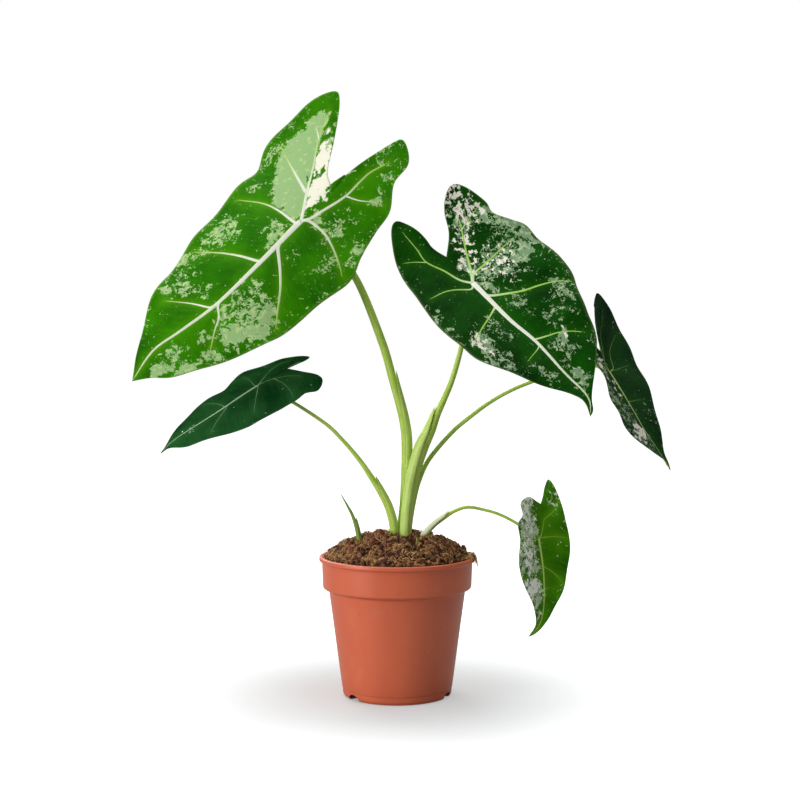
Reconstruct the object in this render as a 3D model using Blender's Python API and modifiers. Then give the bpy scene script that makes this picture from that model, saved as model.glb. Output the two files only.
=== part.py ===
"""A variegated alocasia in a plastic nursery pot: pot, soil, five leaf stalks, five blades and two shoots.

The origin is the middle of the pot's underside, +Z is up and the plant's front looks along -Y.
Lengths in the tables below are millimetres and are scaled to metres where they are used.
"""

import bmesh
import bpy
import numpy as np
from math import cos, pi, radians, sin
from mathutils import Vector

MM = 0.001
GAP = 0.3

# Pot, a 12 cm nursery pot
RIM_RADIUS = 60.0
POT_HEIGHT = 107.5
LIP_DROP = 3.6
BAND_TOP_RADIUS = 57.8
BAND_FOOT_RADIUS = 57.2
BAND_FOOT = 83.2
LEDGE_RADIUS = 52.4
LEDGE_DROP = 1.8
FOOT_RADIUS = 41.6
FOOT_ROUND = 2.4
WALL = 1.2
POT_SIDES = 72
NOTCH_RADIUS = 6.5
NOTCH_REACH = 7.0
NOTCH_COUNT = 3
NOTCH_TURN = radians(-53)

# Soil
SOIL_EDGE_HEIGHT = 106.0
SOIL_EDGE_ROUND = 0.8
MOUND_HEIGHT = 17.5
SOIL_RINGS = 11
SOIL_SIDES = 60
RELIEF = 1.3

# Blades
BLADE_THICK = 0.85
RIB_THICK = 2.2
RIB_WIDTH = 3.0
CREASE = 4.0
COUNT_MIDRIB = 12
COUNT_LOBE = 7
COUNT_ACROSS = 5
NECK = 1.2

# Each blade lies in its own flat coordinates before it is bent: the first number runs from the
# stalk joint along the midrib towards the tip, the second across it. One half's edge is three runs:
# from the tip to abreast of the joint, on to the lobe's tip, and back along the lobe's inner edge.
BLADES = {
    "blade_1": {
        "joint": (-73, -10, 364),
        "tip": (-193, -62, 245),
        "face": (-0.15, -0.88, 0.45),
        "folds": (-10, -10),
        "arch": 5,
        "lobe_rise": 110,
        "knee": 8,
        "curl": 3,
        "half_width": 55,
        "wave": (1.6, 52, 0.1),
        "midrib": [(177, 0), (150, -5), (125, 0), (92, 5), (48, 4), (0, 0)],
        "sinus": (-37, -4),
        "lobe_veins": [(-74, -46), (-71, 17)],
        "edges": [
            [
                [(177, 0), (150, -20), (121, -42), (93, -50), (63, -59), (30, -65), (0, -71)],
                [(-17, -71), (-35, -81), (-55, -82), (-81, -76), (-97, -58)],
                [(-93, -47), (-69, -31), (-45, -15)],
            ],
            [
                [(177, 0), (166, 9), (151, 24), (111, 45), (86, 55), (61, 58), (33, 60), (8, 60)],
                [(-9, 54), (-33, 47), (-51, 45), (-68, 35), (-86, 34), (-95, 21)],
                [(-86, 13), (-64, 5)],
            ],
        ],
    },
    "blade_2": {
        "joint": (57, -20, 317),
        "tip": (140, -72, 220),
        "face": (0.1, -0.86, 0.48),
        "folds": (14, 14),
        "arch": 4,
        "lobe_rise": 75,
        "knee": 8,
        "curl": 3,
        "half_width": 50,
        "wave": (1.4, 44, 0.4),
        "midrib": [(138, 0), (125, 8), (100, 6), (68, 5), (41, 1), (0, 0)],
        "sinus": (-30, -2),
        "lobe_veins": [(-55, -20), (-49, 31)],
        "edges": [
            [
                [(138, 0), (128, 3), (116, -3), (93, -23), (62, -43), (45, -48), (30, -51), (5, -50)],
                [(-12, -48), (-34, -45), (-49, -40), (-65, -30), (-70, -22)],
                [(-65, -15), (-55, -10), (-41, -8)],
            ],
            [
                [(138, 0), (135, 5), (124, 13), (94, 42), (73, 50), (56, 56), (42, 63), (26, 64), (3, 63)],
                [(-13, 63), (-24, 56), (-37, 49), (-48, 50), (-63, 42), (-70, 34)],
                [(-67, 25), (-58, 17), (-44, 11)],
            ],
        ],
    },
    "blade_3": {
        "joint": (164, 6, 249),
        "tip": (209, -8, 175),
        "face": (0.78, -0.55, 0.3),
        "folds": (0, 10),
        "arch": 3,
        "lobe_rise": 80,
        "knee": 5,
        "curl": 1,
        "half_width": 30,
        "wave": (0.8, 34, 0.2),
        "midrib": [(88, 0), (56, -7), (42, -7), (20, -4), (0, 0)],
        "sinus": (-16, 4),
        "lobe_veins": [(-25, -13), (-40, 14)],
        "edges": [
            [
                [(88, 0), (79, -2), (71, -13), (62, -21), (43, -32), (30, -27), (18, -24), (6, -16)],
                [(-3, -11), (-14, -12), (-26, -20), (-36, -19)],
                [(-30, -8)],
            ],
            [
                [(88, 0), (81, 2), (72, 4), (54, 12), (37, 23), (22, 30), (7, 36)],
                [(-9, 41), (-26, 39), (-39, 28), (-50, 14), (-56, 2)],
                [(-48, 0), (-31, 5)],
            ],
        ],
    },
    "blade_4": {
        "joint": (-105, -22, 240),
        "tip": (-175, -48, 191),
        "face": (-0.1, -0.55, 0.8),
        "folds": (-12, -12),
        "arch": 4,
        "lobe_rise": 0,
        "knee": 7,
        "curl": 2,
        "half_width": 28,
        "wave": (0.8, 36, 0.3),
        "midrib": [(89, 0), (76, -1), (53, 2), (31, 3), (0, 0)],
        "sinus": (-26, -3),
        "lobe_veins": [(-34, -8), (-30, 16)],
        "edges": [
            [
                [(89, 0), (76, -6), (64, -12), (47, -21), (33, -22), (21, -21), (10, -28), (-1, -32)],
                [(-13, -29), (-28, -24), (-39, -14), (-47, -3)],
                [(-42, 0), (-34, -2)],
            ],
            [
                [(89, 0), (82, 2), (71, 12), (52, 21), (39, 26), (27, 30), (17, 30), (4, 29)],
                [(-14, 29), (-24, 27), (-33, 29), (-41, 24)],
                [(-41, 17), (-34, 7)],
            ],
        ],
    },
    "blade_5": {
        "joint": (109, -4, 121),
        "tip": (101, -14, 47),
        "face": (0.35, -0.9, 0.1),
        "folds": (25, 15),
        "arch": 2,
        "lobe_rise": -40,
        "knee": 6,
        "curl": 1,
        "half_width": 24,
        "wave": (0.8, 30, 0.6),
        "midrib": [(75, 0), (66, 7), (52, 9), (26, 6), (0, 0)],
        "sinus": (-27, 2),
        "lobe_veins": [(-20, -10), (-33, 13)],
        "edges": [
            [
                [(75, 0), (64, 4), (52, -2), (39, -12), (24, -21), (15, -22), (3, -20)],
                [(-9, -24), (-17, -18), (-25, -19), (-30, -13)],
                [(-31, -6)],
            ],
            [
                [(75, 0), (72, 5), (60, 14), (45, 20), (32, 24), (14, 25), (-3, 25)],
                [(-18, 21), (-32, 19), (-42, 16), (-47, 12)],
                [(-41, 8), (-33, 5)],
            ],
        ],
    },
}

# Each stalk's route from its foot in the soil to near its blade, with the stalk's radius there.
PETIOLES = {
    "petiole_1": [
        ((3.2, 4.4, 101), 3.2),
        ((3.2, 4.4, 127), 3.4),
        ((5.6, 4.2, 150), 3.5),
        ((7.2, 3, 189), 3.8),
        ((5, 2, 212), 3.6),
        ((-3.3, 1, 243), 3.2),
        ((-12, 0, 273), 3.1),
        ((-32, 0, 321), 2.7),
        ((-56, 4, 348), 2.5),
    ],
    "petiole_2": [
        ((7, -4, 101), 4.2),
        ((7, -4, 127), 4.4),
        ((9, -4, 150), 4.3),
        ((12.5, -4, 170), 4.6),
        ((18.5, -4, 190), 5.1),
        ((25.5, -5, 205), 4.1),
        ((30, -5, 216), 3.1),
        ((35.6, -5, 228), 2.5),
        ((41.8, -6, 243), 2.2),
        ((48.4, -6, 266), 1.9),
        ((53, -4, 290), 1.8),
    ],
    "petiole_3": [
        ((9.6, 4.4, 101), 1.8),
        ((9.6, 4.4, 127), 1.9),
        ((13, 4.6, 150), 1.9),
        ((17.2, 5, 166), 1.9),
        ((25, 5, 182), 1.8),
        ((42, 5, 202), 1.7),
        ((56, 5, 214), 1.6),
        ((71, 6, 225), 1.5),
        ((87, 7, 234), 1.4),
        ((104, 9, 241), 1.4),
        ((134, 12, 251), 1.3),
        ((154, 12, 253), 1.3),
    ],
    "petiole_4": [
        ((-2.6, -2, 101), 3.0),
        ((-2.6, -2, 127), 3.1),
        ((-6, -3, 143), 3.0),
        ((-11.5, -4, 155), 2.7),
        ((-20, -6, 169), 2.2),
        ((-28.8, -7, 182), 1.8),
        ((-41.3, -9, 197), 1.5),
        ((-54.5, -11, 210), 1.4),
        ((-80, -14, 227), 1.3),
        ((-94, -15, 233), 1.3),
    ],
    "petiole_5": [
        ((19.5, -2, 101), 2.3),
        ((19.5, -2, 119), 2.4),
        ((23, -2, 126), 2.4),
        ((29, -1, 132), 2.1),
        ((36, -1, 137), 1.8),
        ((44, -1, 142), 1.4),
        ((54, -1, 145), 1.3),
        ((66, 0, 143), 1.2),
        ((79, 1, 139), 1.2),
        ((92, 3, 132), 1.2),
        ((101, 4, 125), 1.2),
    ],
}
SHOOTS = {
    "shoot_1": [
        ((-29, 0, 102), 1.6),
        ((-29, 0, 116), 1.7),
        ((-31, -1, 128), 1.6),
        ((-34, -2, 138), 1.3),
        ((-38, -3, 146), 0.9),
        ((-43, -4, 155), 0.3),
    ],
    "shoot_2": [((15, -22, 104), 1.0), ((15, -22, 118), 1.0), ((15, -22.5, 124.5), 0.4)],
}

POT_COLOR = (0.55, 0.115, 0.05)
SOIL_COLOR = (0.06, 0.025, 0.012)
STALK_COLOR = (0.3, 0.48, 0.08)
SHOOT_COLOR = (0.42, 0.5, 0.2)
BLADE_COLORS = {
    "blade_1": (0.045, 0.2, 0.006),
    "blade_2": (0.006, 0.05, 0.01),
    "blade_3": (0.005, 0.04, 0.008),
    "blade_4": (0.008, 0.045, 0.014),
    "blade_5": (0.02, 0.12, 0.008),
}


def clear_scene():
    """Removes every object that the startup scene holds."""
    for obj in list(bpy.data.objects):
        bpy.data.objects.remove(obj, do_unlink=True)


def new_collection(name):
    """Returns a new collection linked to the scene."""
    collection = bpy.data.collections.new(name)
    bpy.context.scene.collection.children.link(collection)
    return collection


def new_material(name, color, roughness, metallic=0.0):
    """Returns a plain material of one colour."""
    material = bpy.data.materials.new(name)
    material.use_nodes = True
    shader = material.node_tree.nodes["Principled BSDF"]
    shader.inputs["Base Color"].default_value = (*color, 1.0)
    shader.inputs["Roughness"].default_value = roughness
    shader.inputs["Metallic"].default_value = metallic
    return material


def add_object(name, mesh, collection, material=None):
    """Returns a new object that holds the mesh."""
    obj = bpy.data.objects.new(name, mesh)
    collection.objects.link(obj)
    if material:
        mesh.materials.append(material)
    return obj


def make_cutter(obj):
    """Marks an object as one that only cuts others."""
    obj.hide_render = True
    obj.display_type = "WIRE"


def shade_smooth(mesh):
    """Shades every face of the mesh smooth."""
    mesh.polygons.foreach_set("use_smooth", [True] * len(mesh.polygons))


def cut(obj, cutter):
    """Cuts the cutter's shape from the object."""
    modifier = obj.modifiers.new("cut_" + cutter.name, "BOOLEAN")
    modifier.object = cutter
    modifier.operation = "DIFFERENCE"
    modifier.solver = "EXACT"


def turned(name, profile, sides, collection, material):
    """Returns an object turned about Z from a profile of (radius, height) points in millimetres."""
    mesh = bpy.data.meshes.new(name)
    mesh.from_pydata(
        [(radius * MM, 0.0, height * MM) for radius, height in profile],
        [(i, i + 1) for i in range(len(profile) - 1)],
        [],
    )
    obj = add_object(name, mesh, collection, material)
    screw = obj.modifiers.new("turn", "SCREW")
    screw.steps = sides
    screw.render_steps = sides
    screw.use_merge_vertices = True
    screw.merge_threshold = 0.0001
    screw.use_smooth_shade = True
    return obj


def applied(obj):
    """Returns the object's mesh with its modifiers applied, and removes the object."""
    graph = bpy.context.evaluated_depsgraph_get()
    mesh = bpy.data.meshes.new_from_object(obj.evaluated_get(graph))
    bpy.data.objects.remove(obj, do_unlink=True)
    return mesh


def inner_radius(height):
    """Returns the radius of the pot's inner wall at a height, in millimetres."""
    ledge_height = BAND_FOOT - LEDGE_DROP
    if height > BAND_FOOT:
        return BAND_FOOT_RADIUS - WALL
    share = height / ledge_height
    return FOOT_RADIUS + (LEDGE_RADIUS - FOOT_RADIUS) * min(share, 1.0) - WALL


def pot_profile():
    """Returns the pot's section, down the outer side from the lip and back up the inner side."""
    ledge_height = BAND_FOOT - LEDGE_DROP
    lip_foot = POT_HEIGHT - LIP_DROP
    slope = (LEDGE_RADIUS - FOOT_RADIUS) / ledge_height
    outer = [
        (RIM_RADIUS - 1.0, POT_HEIGHT),
        (RIM_RADIUS - 0.3, POT_HEIGHT - 0.3),
        (RIM_RADIUS, POT_HEIGHT - 1.0),
        (RIM_RADIUS, lip_foot + 0.5),
        (RIM_RADIUS - 0.4, lip_foot),
        (BAND_TOP_RADIUS, lip_foot - 0.2),
        (BAND_FOOT_RADIUS, BAND_FOOT + 0.8),
        (BAND_FOOT_RADIUS - 0.6, BAND_FOOT),
        (LEDGE_RADIUS + 0.5, ledge_height + 0.3),
        (LEDGE_RADIUS, ledge_height - 0.3),
        (FOOT_RADIUS + slope * FOOT_ROUND, FOOT_ROUND),
        (FOOT_RADIUS - 0.6, 0.7),
        (FOOT_RADIUS - FOOT_ROUND, 0.0),
        (0.0, 0.0),
    ]
    inner = [
        (0.0, WALL),
        (FOOT_RADIUS - FOOT_ROUND - 0.4, WALL),
        (FOOT_RADIUS - WALL, FOOT_ROUND + 0.4),
        (LEDGE_RADIUS - WALL, ledge_height),
        (BAND_FOOT_RADIUS - WALL, BAND_FOOT + WALL),
        (BAND_FOOT_RADIUS - WALL, POT_HEIGHT - 0.4),
        (BAND_FOOT_RADIUS - WALL + 0.4, POT_HEIGHT),
    ]
    return outer + inner + outer[:1]


def make_pot(collection, cutters):
    """Makes the pot with its drainage notches at the foot."""
    material = new_material("pot_plastic", POT_COLOR, 0.42)
    pot = turned("pot", pot_profile(), POT_SIDES, collection, material)
    for index in range(NOTCH_COUNT):
        angle = NOTCH_TURN + index * 2 * pi / NOTCH_COUNT
        notch = make_notch(index, angle, cutters)
        cut(pot, notch)
    return pot


def make_notch(index, angle, cutters):
    """Makes one notch cutter, a drum that lies along the radius at an angle from the front."""
    mesh = bpy.data.meshes.new("notch_%d" % (index + 1))
    shape = bmesh.new()
    bmesh.ops.create_cone(
        shape,
        cap_ends=True,
        segments=20,
        radius1=NOTCH_RADIUS * MM,
        radius2=NOTCH_RADIUS * MM,
        depth=2 * NOTCH_REACH * MM,
    )
    shape.to_mesh(mesh)
    shape.free()
    notch = add_object(mesh.name, mesh, cutters)
    notch.scale = (0.75, 1.0, 1.0)
    notch.rotation_euler = (0.0, pi / 2, angle - pi / 2)
    notch.location = (FOOT_RADIUS * sin(angle) * MM, -FOOT_RADIUS * cos(angle) * MM, 0.0)
    make_cutter(notch)
    return notch


def mound(x, y):
    """Returns the soil's height above its edge at a place: a dome with lumps that fade at the rim."""
    radius = np.hypot(x, y) / (BAND_FOOT_RADIUS - WALL)
    dome = MOUND_HEIGHT * np.clip(1 - radius**2.2, 0, 1) ** 0.8
    lumps = (
        np.sin(0.21 * x + 1.3) * np.cos(0.17 * y - 0.4)
        + 0.6 * np.sin(0.37 * x - 0.29 * y + 2.1)
        + 0.5 * np.cos(0.51 * y + 0.33 * x)
    )
    fade = np.clip((1 - radius) * 5, 0, 1)
    return dome + RELIEF * lumps * fade


def soil_profile():
    """Returns the soil's section from the mound's middle down the inner wall to its underside."""
    rim = inner_radius(SOIL_EDGE_HEIGHT) - GAP
    top = [(rim * ring / SOIL_RINGS, SOIL_EDGE_HEIGHT) for ring in range(SOIL_RINGS)]
    ledge_height = BAND_FOOT - LEDGE_DROP
    return top + [
        (rim, SOIL_EDGE_HEIGHT - SOIL_EDGE_ROUND),
        (rim, BAND_FOOT + WALL + GAP),
        (LEDGE_RADIUS - WALL - GAP, ledge_height - 0.1),
        (FOOT_RADIUS - WALL - GAP - 0.1, FOOT_ROUND + 1.2),
        (FOOT_RADIUS - FOOT_ROUND - 1.0, WALL + GAP),
        (0.0, WALL + GAP),
    ]


def make_soil(collection, hole_cutters):
    """Makes the soil: a turned body whose top is raised by the mound formula, with a hole for each stem."""
    material = new_material("potting_soil", SOIL_COLOR, 0.95)
    body = turned("soil_body", soil_profile(), SOIL_SIDES, collection, material)
    mesh = applied(body)
    mesh.name = "soil"
    points = np.empty(len(mesh.vertices) * 3, np.float32)
    mesh.vertices.foreach_get("co", points)
    points = points.reshape(-1, 3)
    top = points[:, 2] > (SOIL_EDGE_HEIGHT - 0.5 * SOIL_EDGE_ROUND) * MM
    points[top, 2] += mound(points[top, 0] / MM, points[top, 1] / MM) * MM
    mesh.vertices.foreach_set("co", points.ravel())
    soil = add_object("soil", mesh, collection)
    for cutter in hole_cutters:
        cut(soil, cutter)
    return soil


def tube(name, stations, collection, widen=0.0, foot=None):
    """Returns a round tube through the stations of (place, radius), widened for a hole's cutter."""
    route = bpy.data.curves.new(name + "_route", "CURVE")
    route.dimensions = "3D"
    route.bevel_depth = MM
    route.bevel_resolution = 2
    route.use_fill_caps = True
    places, radii = smooth_route(stations)
    if foot is not None:
        places[0, 2] = foot
    spline = route.splines.new("POLY")
    spline.points.add(len(places) - 1)
    for point, place, radius in zip(spline.points, places, radii):
        point.co = (*(place * MM), 1.0)
        point.radius = radius + widen
    guide = add_object(name + "_guide", route, collection)
    mesh = applied(guide)
    shape = bmesh.new()
    shape.from_mesh(mesh)
    bmesh.ops.remove_doubles(shape, verts=shape.verts, dist=0.00001)
    shape.to_mesh(mesh)
    shape.free()
    mesh.name = name
    shade_smooth(mesh)
    return add_object(name, mesh, collection)


def smooth_route(stations, steps=3):
    """Returns places and radii along a smooth curve through the stations, a few to each stretch."""
    points = np.array([(*place, radius) for place, radius in stations], float)
    curve = smooth_curve(points, steps)
    return curve[:, :3], curve[:, 3]


def smooth_curve(points, steps):
    """Returns a Catmull-Rom curve through the points, with a number of steps to each stretch."""
    points = np.asarray(points, float)
    before = np.vstack([2 * points[0] - points[1], points[:-1]])
    after = np.vstack([points[1:], 2 * points[-1] - points[-2]])
    slope = (after - before) / 2
    share = (np.arange(steps) / steps)[None, :, None]
    start, end = points[:-1, None], points[1:, None]
    leave, arrive = slope[:-1, None], slope[1:, None]
    curve = (
        (2 * share**3 - 3 * share**2 + 1) * start
        + (share**3 - 2 * share**2 + share) * leave
        + (3 * share**2 - 2 * share**3) * end
        + (share**3 - share**2) * arrive
    )
    return np.vstack([curve.reshape(-1, points.shape[1]), points[-1:]])


def evenly(curve, count):
    """Returns count + 1 points at even distances along a polyline."""
    length = np.concatenate([[0], np.cumsum(np.linalg.norm(np.diff(curve, axis=0), axis=1))])
    wanted = np.linspace(0, length[-1], count + 1)
    return np.stack([np.interp(wanted, length, curve[:, axis]) for axis in (0, 1)], axis=1)


def edge_points(edge, sinus):
    """Returns one half's edge from the tip to the sinus, its three runs sampled to the blade's counts."""
    outer, lobe, inner = edge
    steps = 12
    curve = smooth_curve(outer + lobe + inner + [sinus], steps)
    abreast = (len(outer) - 1) * steps
    lobe_tip = abreast + len(lobe) * steps
    runs = [
        evenly(curve[: abreast + 1], COUNT_MIDRIB),
        evenly(curve[abreast : lobe_tip + 1], COUNT_LOBE)[1:],
        evenly(curve[lobe_tip:], COUNT_LOBE)[1:],
    ]
    return np.vstack(runs)


def spine_points(midrib, lobe_vein):
    """Returns the line that a half's cross lines start on: down the midrib, out the lobe's vein and back."""
    along = evenly(smooth_curve(midrib, 12), COUNT_MIDRIB)
    out = np.linspace(0, 1, COUNT_LOBE + 1)[1:, None] * np.array(lobe_vein, float)
    back = np.vstack([out[::-1][1:], [[0.0, 0.0]]])
    return np.vstack([along, out, back])


def blade_frame(blade):
    """Returns the blade's joint and its three directions: towards the tip, across and out of its face."""
    joint = Vector(blade["joint"])
    along = Vector(blade["tip"]) - joint
    length = along.length
    along.normalize()
    face = Vector(blade["face"])
    out = (face - along * face.dot(along)).normalized()
    return np.array(joint), length, np.array(along), np.array(out.cross(along)), np.array(out)


def bend_blade(blade, flat, share):
    """Returns the bent places of flat points: fold, arch, lobe rise, side curl and waves of the edge."""
    joint, length, along, across, out = blade_frame(blade)
    course = flat[..., 0] / length
    midrib = np.array(blade["midrib"][::-1], float)
    offset = np.where(course > 0, np.interp(flat[..., 0], midrib[:, 0], midrib[:, 1]), 0.0)
    side = flat[..., 1] - offset
    fold = np.radians(np.where(side < 0, blade["folds"][0], blade["folds"][1]))
    reach = np.sqrt(side**2 + CREASE**2) - CREASE
    sideways = offset + np.sign(side) * (np.abs(side) - reach + reach * np.cos(fold))
    level = 4 * blade["arch"] * course
    arch = np.where(course > 0, level * (1 - course), level + blade["lobe_rise"] * course**2)
    curl = blade["curl"] * (side / blade["half_width"]) ** 2
    size, pitch, start = blade["wave"]
    wave = size * share**3 * np.sin(2 * pi * (flat[..., 0] / pitch + start + 0.37 * (side > 0)))
    height = reach * np.sin(fold) + arch - curl + wave
    return (
        joint
        + flat[..., 0, None] * along
        + sideways[..., None] * across
        + height[..., None] * out
    )


def half_blade(blade, edge, lobe_vein, turn):
    """Returns one half of a blade as a grid whose points follow the bent blade."""
    margin = edge_points(edge, blade["sinus"])
    spine = spine_points(blade["midrib"], lobe_vein)
    share = np.linspace(0, 1, COUNT_ACROSS + 1)[None, :]
    flat = spine[:, None] + (margin - spine)[:, None] * share[..., None]
    places = bend_blade(blade, flat, share) * MM
    half = bmesh.new()
    bmesh.ops.create_grid(half, x_segments=len(spine) - 1, y_segments=COUNT_ACROSS, size=1.0)
    half.verts.ensure_lookup_table()
    order = sorted(half.verts, key=lambda vert: (round(vert.co.x, 5), round(vert.co.y, 5)))
    for vert, place in zip(order, places.reshape(-1, 3)):
        vert.co = place
    if turn:
        bmesh.ops.reverse_faces(half, faces=half.faces)
    return half


def rib_weight(blade, place):
    """Returns how far a point belongs to the thick midrib, from 1 at the joint to 0 in the blade."""
    joint, length, along, across, out = blade_frame(blade)
    offset = np.array(place) / MM - joint
    course = offset @ along / length
    midrib = np.array(blade["midrib"][::-1], float)
    side = offset @ across - np.interp(max(course, 0) * length, midrib[:, 0], midrib[:, 1])
    taper = np.clip(1 - course, 0, 1) if course > 0 else np.clip(1 + 5 * course, 0, 1)
    return float(taper * np.exp(-((side / RIB_WIDTH) ** 2)))


def make_blade(name, blade, collection):
    """Makes one blade: two half grids joined at the midrib, thickened downwards and most at the rib."""
    mesh = bpy.data.meshes.new(name)
    whole = bmesh.new()
    for edge, vein, turn in zip(blade["edges"], blade["lobe_veins"], (False, True)):
        half = half_blade(blade, edge, vein, turn)
        half.to_mesh(mesh)
        half.free()
        whole.from_mesh(mesh)
    bmesh.ops.remove_doubles(whole, verts=whole.verts, dist=0.00005)
    bmesh.ops.triangulate(whole, faces=whole.faces, quad_method="SHORT_EDGE")
    whole.to_mesh(mesh)
    whole.free()
    shade_smooth(mesh)
    blade_obj = add_object(name, mesh, collection, new_material(name, BLADE_COLORS[name], 0.5))
    ribs = blade_obj.vertex_groups.new(name="rib")
    for vert in mesh.vertices:
        ribs.add([vert.index], rib_weight(blade, vert.co), "REPLACE")
    solid = blade_obj.modifiers.new("thickness", "SOLIDIFY")
    solid.thickness = RIB_THICK * MM
    solid.offset = -1.0
    solid.vertex_group = "rib"
    solid.thickness_vertex_group = BLADE_THICK / RIB_THICK
    return blade_obj


def stalk_stations(route, blade):
    """Returns the stalk's stations, with a knee that meets the underside of its blade square on."""
    joint, length, along, _, out = blade_frame(blade)
    square = out - along * 4 * blade["arch"] / length
    square /= np.linalg.norm(square)
    end_radius = route[-1][1]
    knee = tuple(joint - square * blade["knee"])
    neck = tuple(joint - square * (RIB_THICK + GAP + NECK))
    head = tuple(joint - square * (RIB_THICK + GAP))
    return route + [(knee, end_radius), (neck, end_radius), (head, end_radius)]


def make_stems(collection, cutters):
    """Makes the stalks and shoots, and returns a cutter for the hole of each."""
    stalk_material = new_material("stalk", STALK_COLOR, 0.45)
    shoot_material = new_material("shoot", SHOOT_COLOR, 0.5)
    holes = []
    for name, route in (PETIOLES | SHOOTS).items():
        number = name.split("_")[1]
        is_stalk = name in PETIOLES
        stations = stalk_stations(route, BLADES["blade_" + number]) if is_stalk else route
        stem = tube(name, stations, collection)
        stem.data.materials.append(stalk_material if is_stalk else shoot_material)
        foot = route[0][0][2] - GAP
        hole = tube("hole_" + name, route[:4], cutters, widen=GAP, foot=foot)
        make_cutter(hole)
        holes.append(hole)
    return holes


def main():
    """Builds the plant in its pot."""
    clear_scene()
    parts = new_collection("alocasia_in_pot")
    cutters = new_collection("cutters")
    make_pot(parts, cutters)
    holes = make_stems(parts, cutters)
    make_soil(parts, holes)
    for name, blade in BLADES.items():
        make_blade(name, blade, parts)


main()
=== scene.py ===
# %% [markdown]
# # A variegated alocasia in its nursery pot
#
# The plant has five arrow-shaped leaves on long stalks, two young shoots, and a
# crown that sits in a mound of coir in a plastic pot. Its solids are already
# packed as a fixed frame, so this script only dresses them. Each piece here is a
# surface worked out from the same numbers as its solid, with far more points, and
# then gets the veins, splashes and fibres that the solids leave out.

from math import pi, radians

import bmesh
import bpy
import numpy as np
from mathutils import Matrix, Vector


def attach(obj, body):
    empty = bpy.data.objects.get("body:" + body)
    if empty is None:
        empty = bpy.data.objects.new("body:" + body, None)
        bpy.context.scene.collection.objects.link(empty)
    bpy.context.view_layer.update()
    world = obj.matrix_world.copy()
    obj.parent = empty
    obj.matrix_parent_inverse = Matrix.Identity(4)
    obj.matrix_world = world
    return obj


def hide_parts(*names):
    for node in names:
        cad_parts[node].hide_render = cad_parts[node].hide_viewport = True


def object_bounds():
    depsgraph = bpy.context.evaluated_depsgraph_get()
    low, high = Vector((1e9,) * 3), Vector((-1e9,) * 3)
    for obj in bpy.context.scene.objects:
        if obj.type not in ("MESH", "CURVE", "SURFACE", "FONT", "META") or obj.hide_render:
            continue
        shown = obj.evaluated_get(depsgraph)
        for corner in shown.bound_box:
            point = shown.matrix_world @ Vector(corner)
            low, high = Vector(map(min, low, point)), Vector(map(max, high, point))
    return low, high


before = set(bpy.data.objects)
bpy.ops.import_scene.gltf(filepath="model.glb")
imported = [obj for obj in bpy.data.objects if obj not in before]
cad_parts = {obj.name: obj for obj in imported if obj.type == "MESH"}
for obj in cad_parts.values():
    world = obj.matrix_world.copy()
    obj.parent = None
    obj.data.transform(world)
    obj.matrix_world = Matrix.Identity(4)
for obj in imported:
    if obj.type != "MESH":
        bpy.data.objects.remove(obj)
cad_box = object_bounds()
MM = 0.001
print("nodes in the frame:", ", ".join(sorted(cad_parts)))

# %% [markdown]
# ## Camera and light
#
# The photograph was taken with a long lens from a little above the rim, looking
# three degrees down. A long lens keeps the leaves from bulging towards us. The
# light is a plain studio: one large softbox from the left, one overhead that
# lays the soft shadow round the pot, and one behind so that light comes through
# the thin leaves. The left one lights the plant alone, and so lays no shadow on the
# floor. The backdrop is white where the camera sees it and dimmer where it lights
# the plant, because an all-white room would wash out the shading.

# %% The camera
camera = bpy.data.objects.new("camera", bpy.data.cameras.new("camera"))
bpy.context.scene.collection.objects.link(camera)
camera.data.lens = 73.51
camera.data.sensor_width = 36.0
camera.data.clip_start = 0.05
camera.data.clip_end = 30.0
camera.location = (2.15 * MM, -1250 * MM, 293.5 * MM)
camera.rotation_euler = (radians(90 - 3.028), 0.0, 0.0)
bpy.context.scene.camera = camera
bpy.context.scene.view_settings.view_transform = "Standard"
print("camera stands", round(-camera.location.y, 3), "m in front of the pot")


# %% The softboxes
def softbox(name, place, aim, width, height, watts):
    """Adds a rectangular lamp at a place, turned so that it shines at the aim, both in metres."""
    lamp = bpy.data.lights.new(name, "AREA")
    lamp.shape = "RECTANGLE"
    lamp.size = width
    lamp.size_y = height
    lamp.energy = watts
    box = bpy.data.objects.new(name, lamp)
    bpy.context.scene.collection.objects.link(box)
    box.location = place
    box.rotation_euler = (Vector(aim) - Vector(place)).to_track_quat("-Z", "Y").to_euler()
    return box


plant_only = bpy.data.collections.new("plant_only")
left = softbox("left_softbox", (-1.15, -0.75, 0.35), (0, 0, 0.25), 0.8, 0.9, 17.0)
left.light_linking.receiver_collection = plant_only
softbox("top_softbox", (0.0, -0.1, 1.5), (0, 0, 0), 1.6, 1.6, 16.0)
softbox("back_softbox", (-0.5, 1.1, 0.9), (-0.1, 0, 0.3), 0.9, 0.9, 8.0)
print("lamps:", [lamp.name for lamp in bpy.data.lights])

# %% The white backdrop
ROOM_LIGHT = 0.22
world = bpy.data.worlds.new("studio")
world.use_nodes = True
bpy.context.scene.world = world
sky = world.node_tree
room = sky.nodes["Background"]
room.inputs["Color"].default_value = (1.0, 1.0, 1.0, 1.0)
room.inputs["Strength"].default_value = ROOM_LIGHT
backdrop = sky.nodes.new("ShaderNodeBackground")
backdrop.inputs["Color"].default_value = (1.0, 1.0, 1.0, 1.0)
backdrop.inputs["Strength"].default_value = 1.0
seen = sky.nodes.new("ShaderNodeLightPath")
choose = sky.nodes.new("ShaderNodeMixShader")
sky.links.new(seen.outputs["Is Camera Ray"], choose.inputs["Fac"])
sky.links.new(room.outputs["Background"], choose.inputs[1])
sky.links.new(backdrop.outputs["Background"], choose.inputs[2])
sky.links.new(choose.outputs["Shader"], sky.nodes["World Output"].inputs["Surface"])
print("backdrop is white to the camera, and lights the plant at", ROOM_LIGHT)

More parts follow.
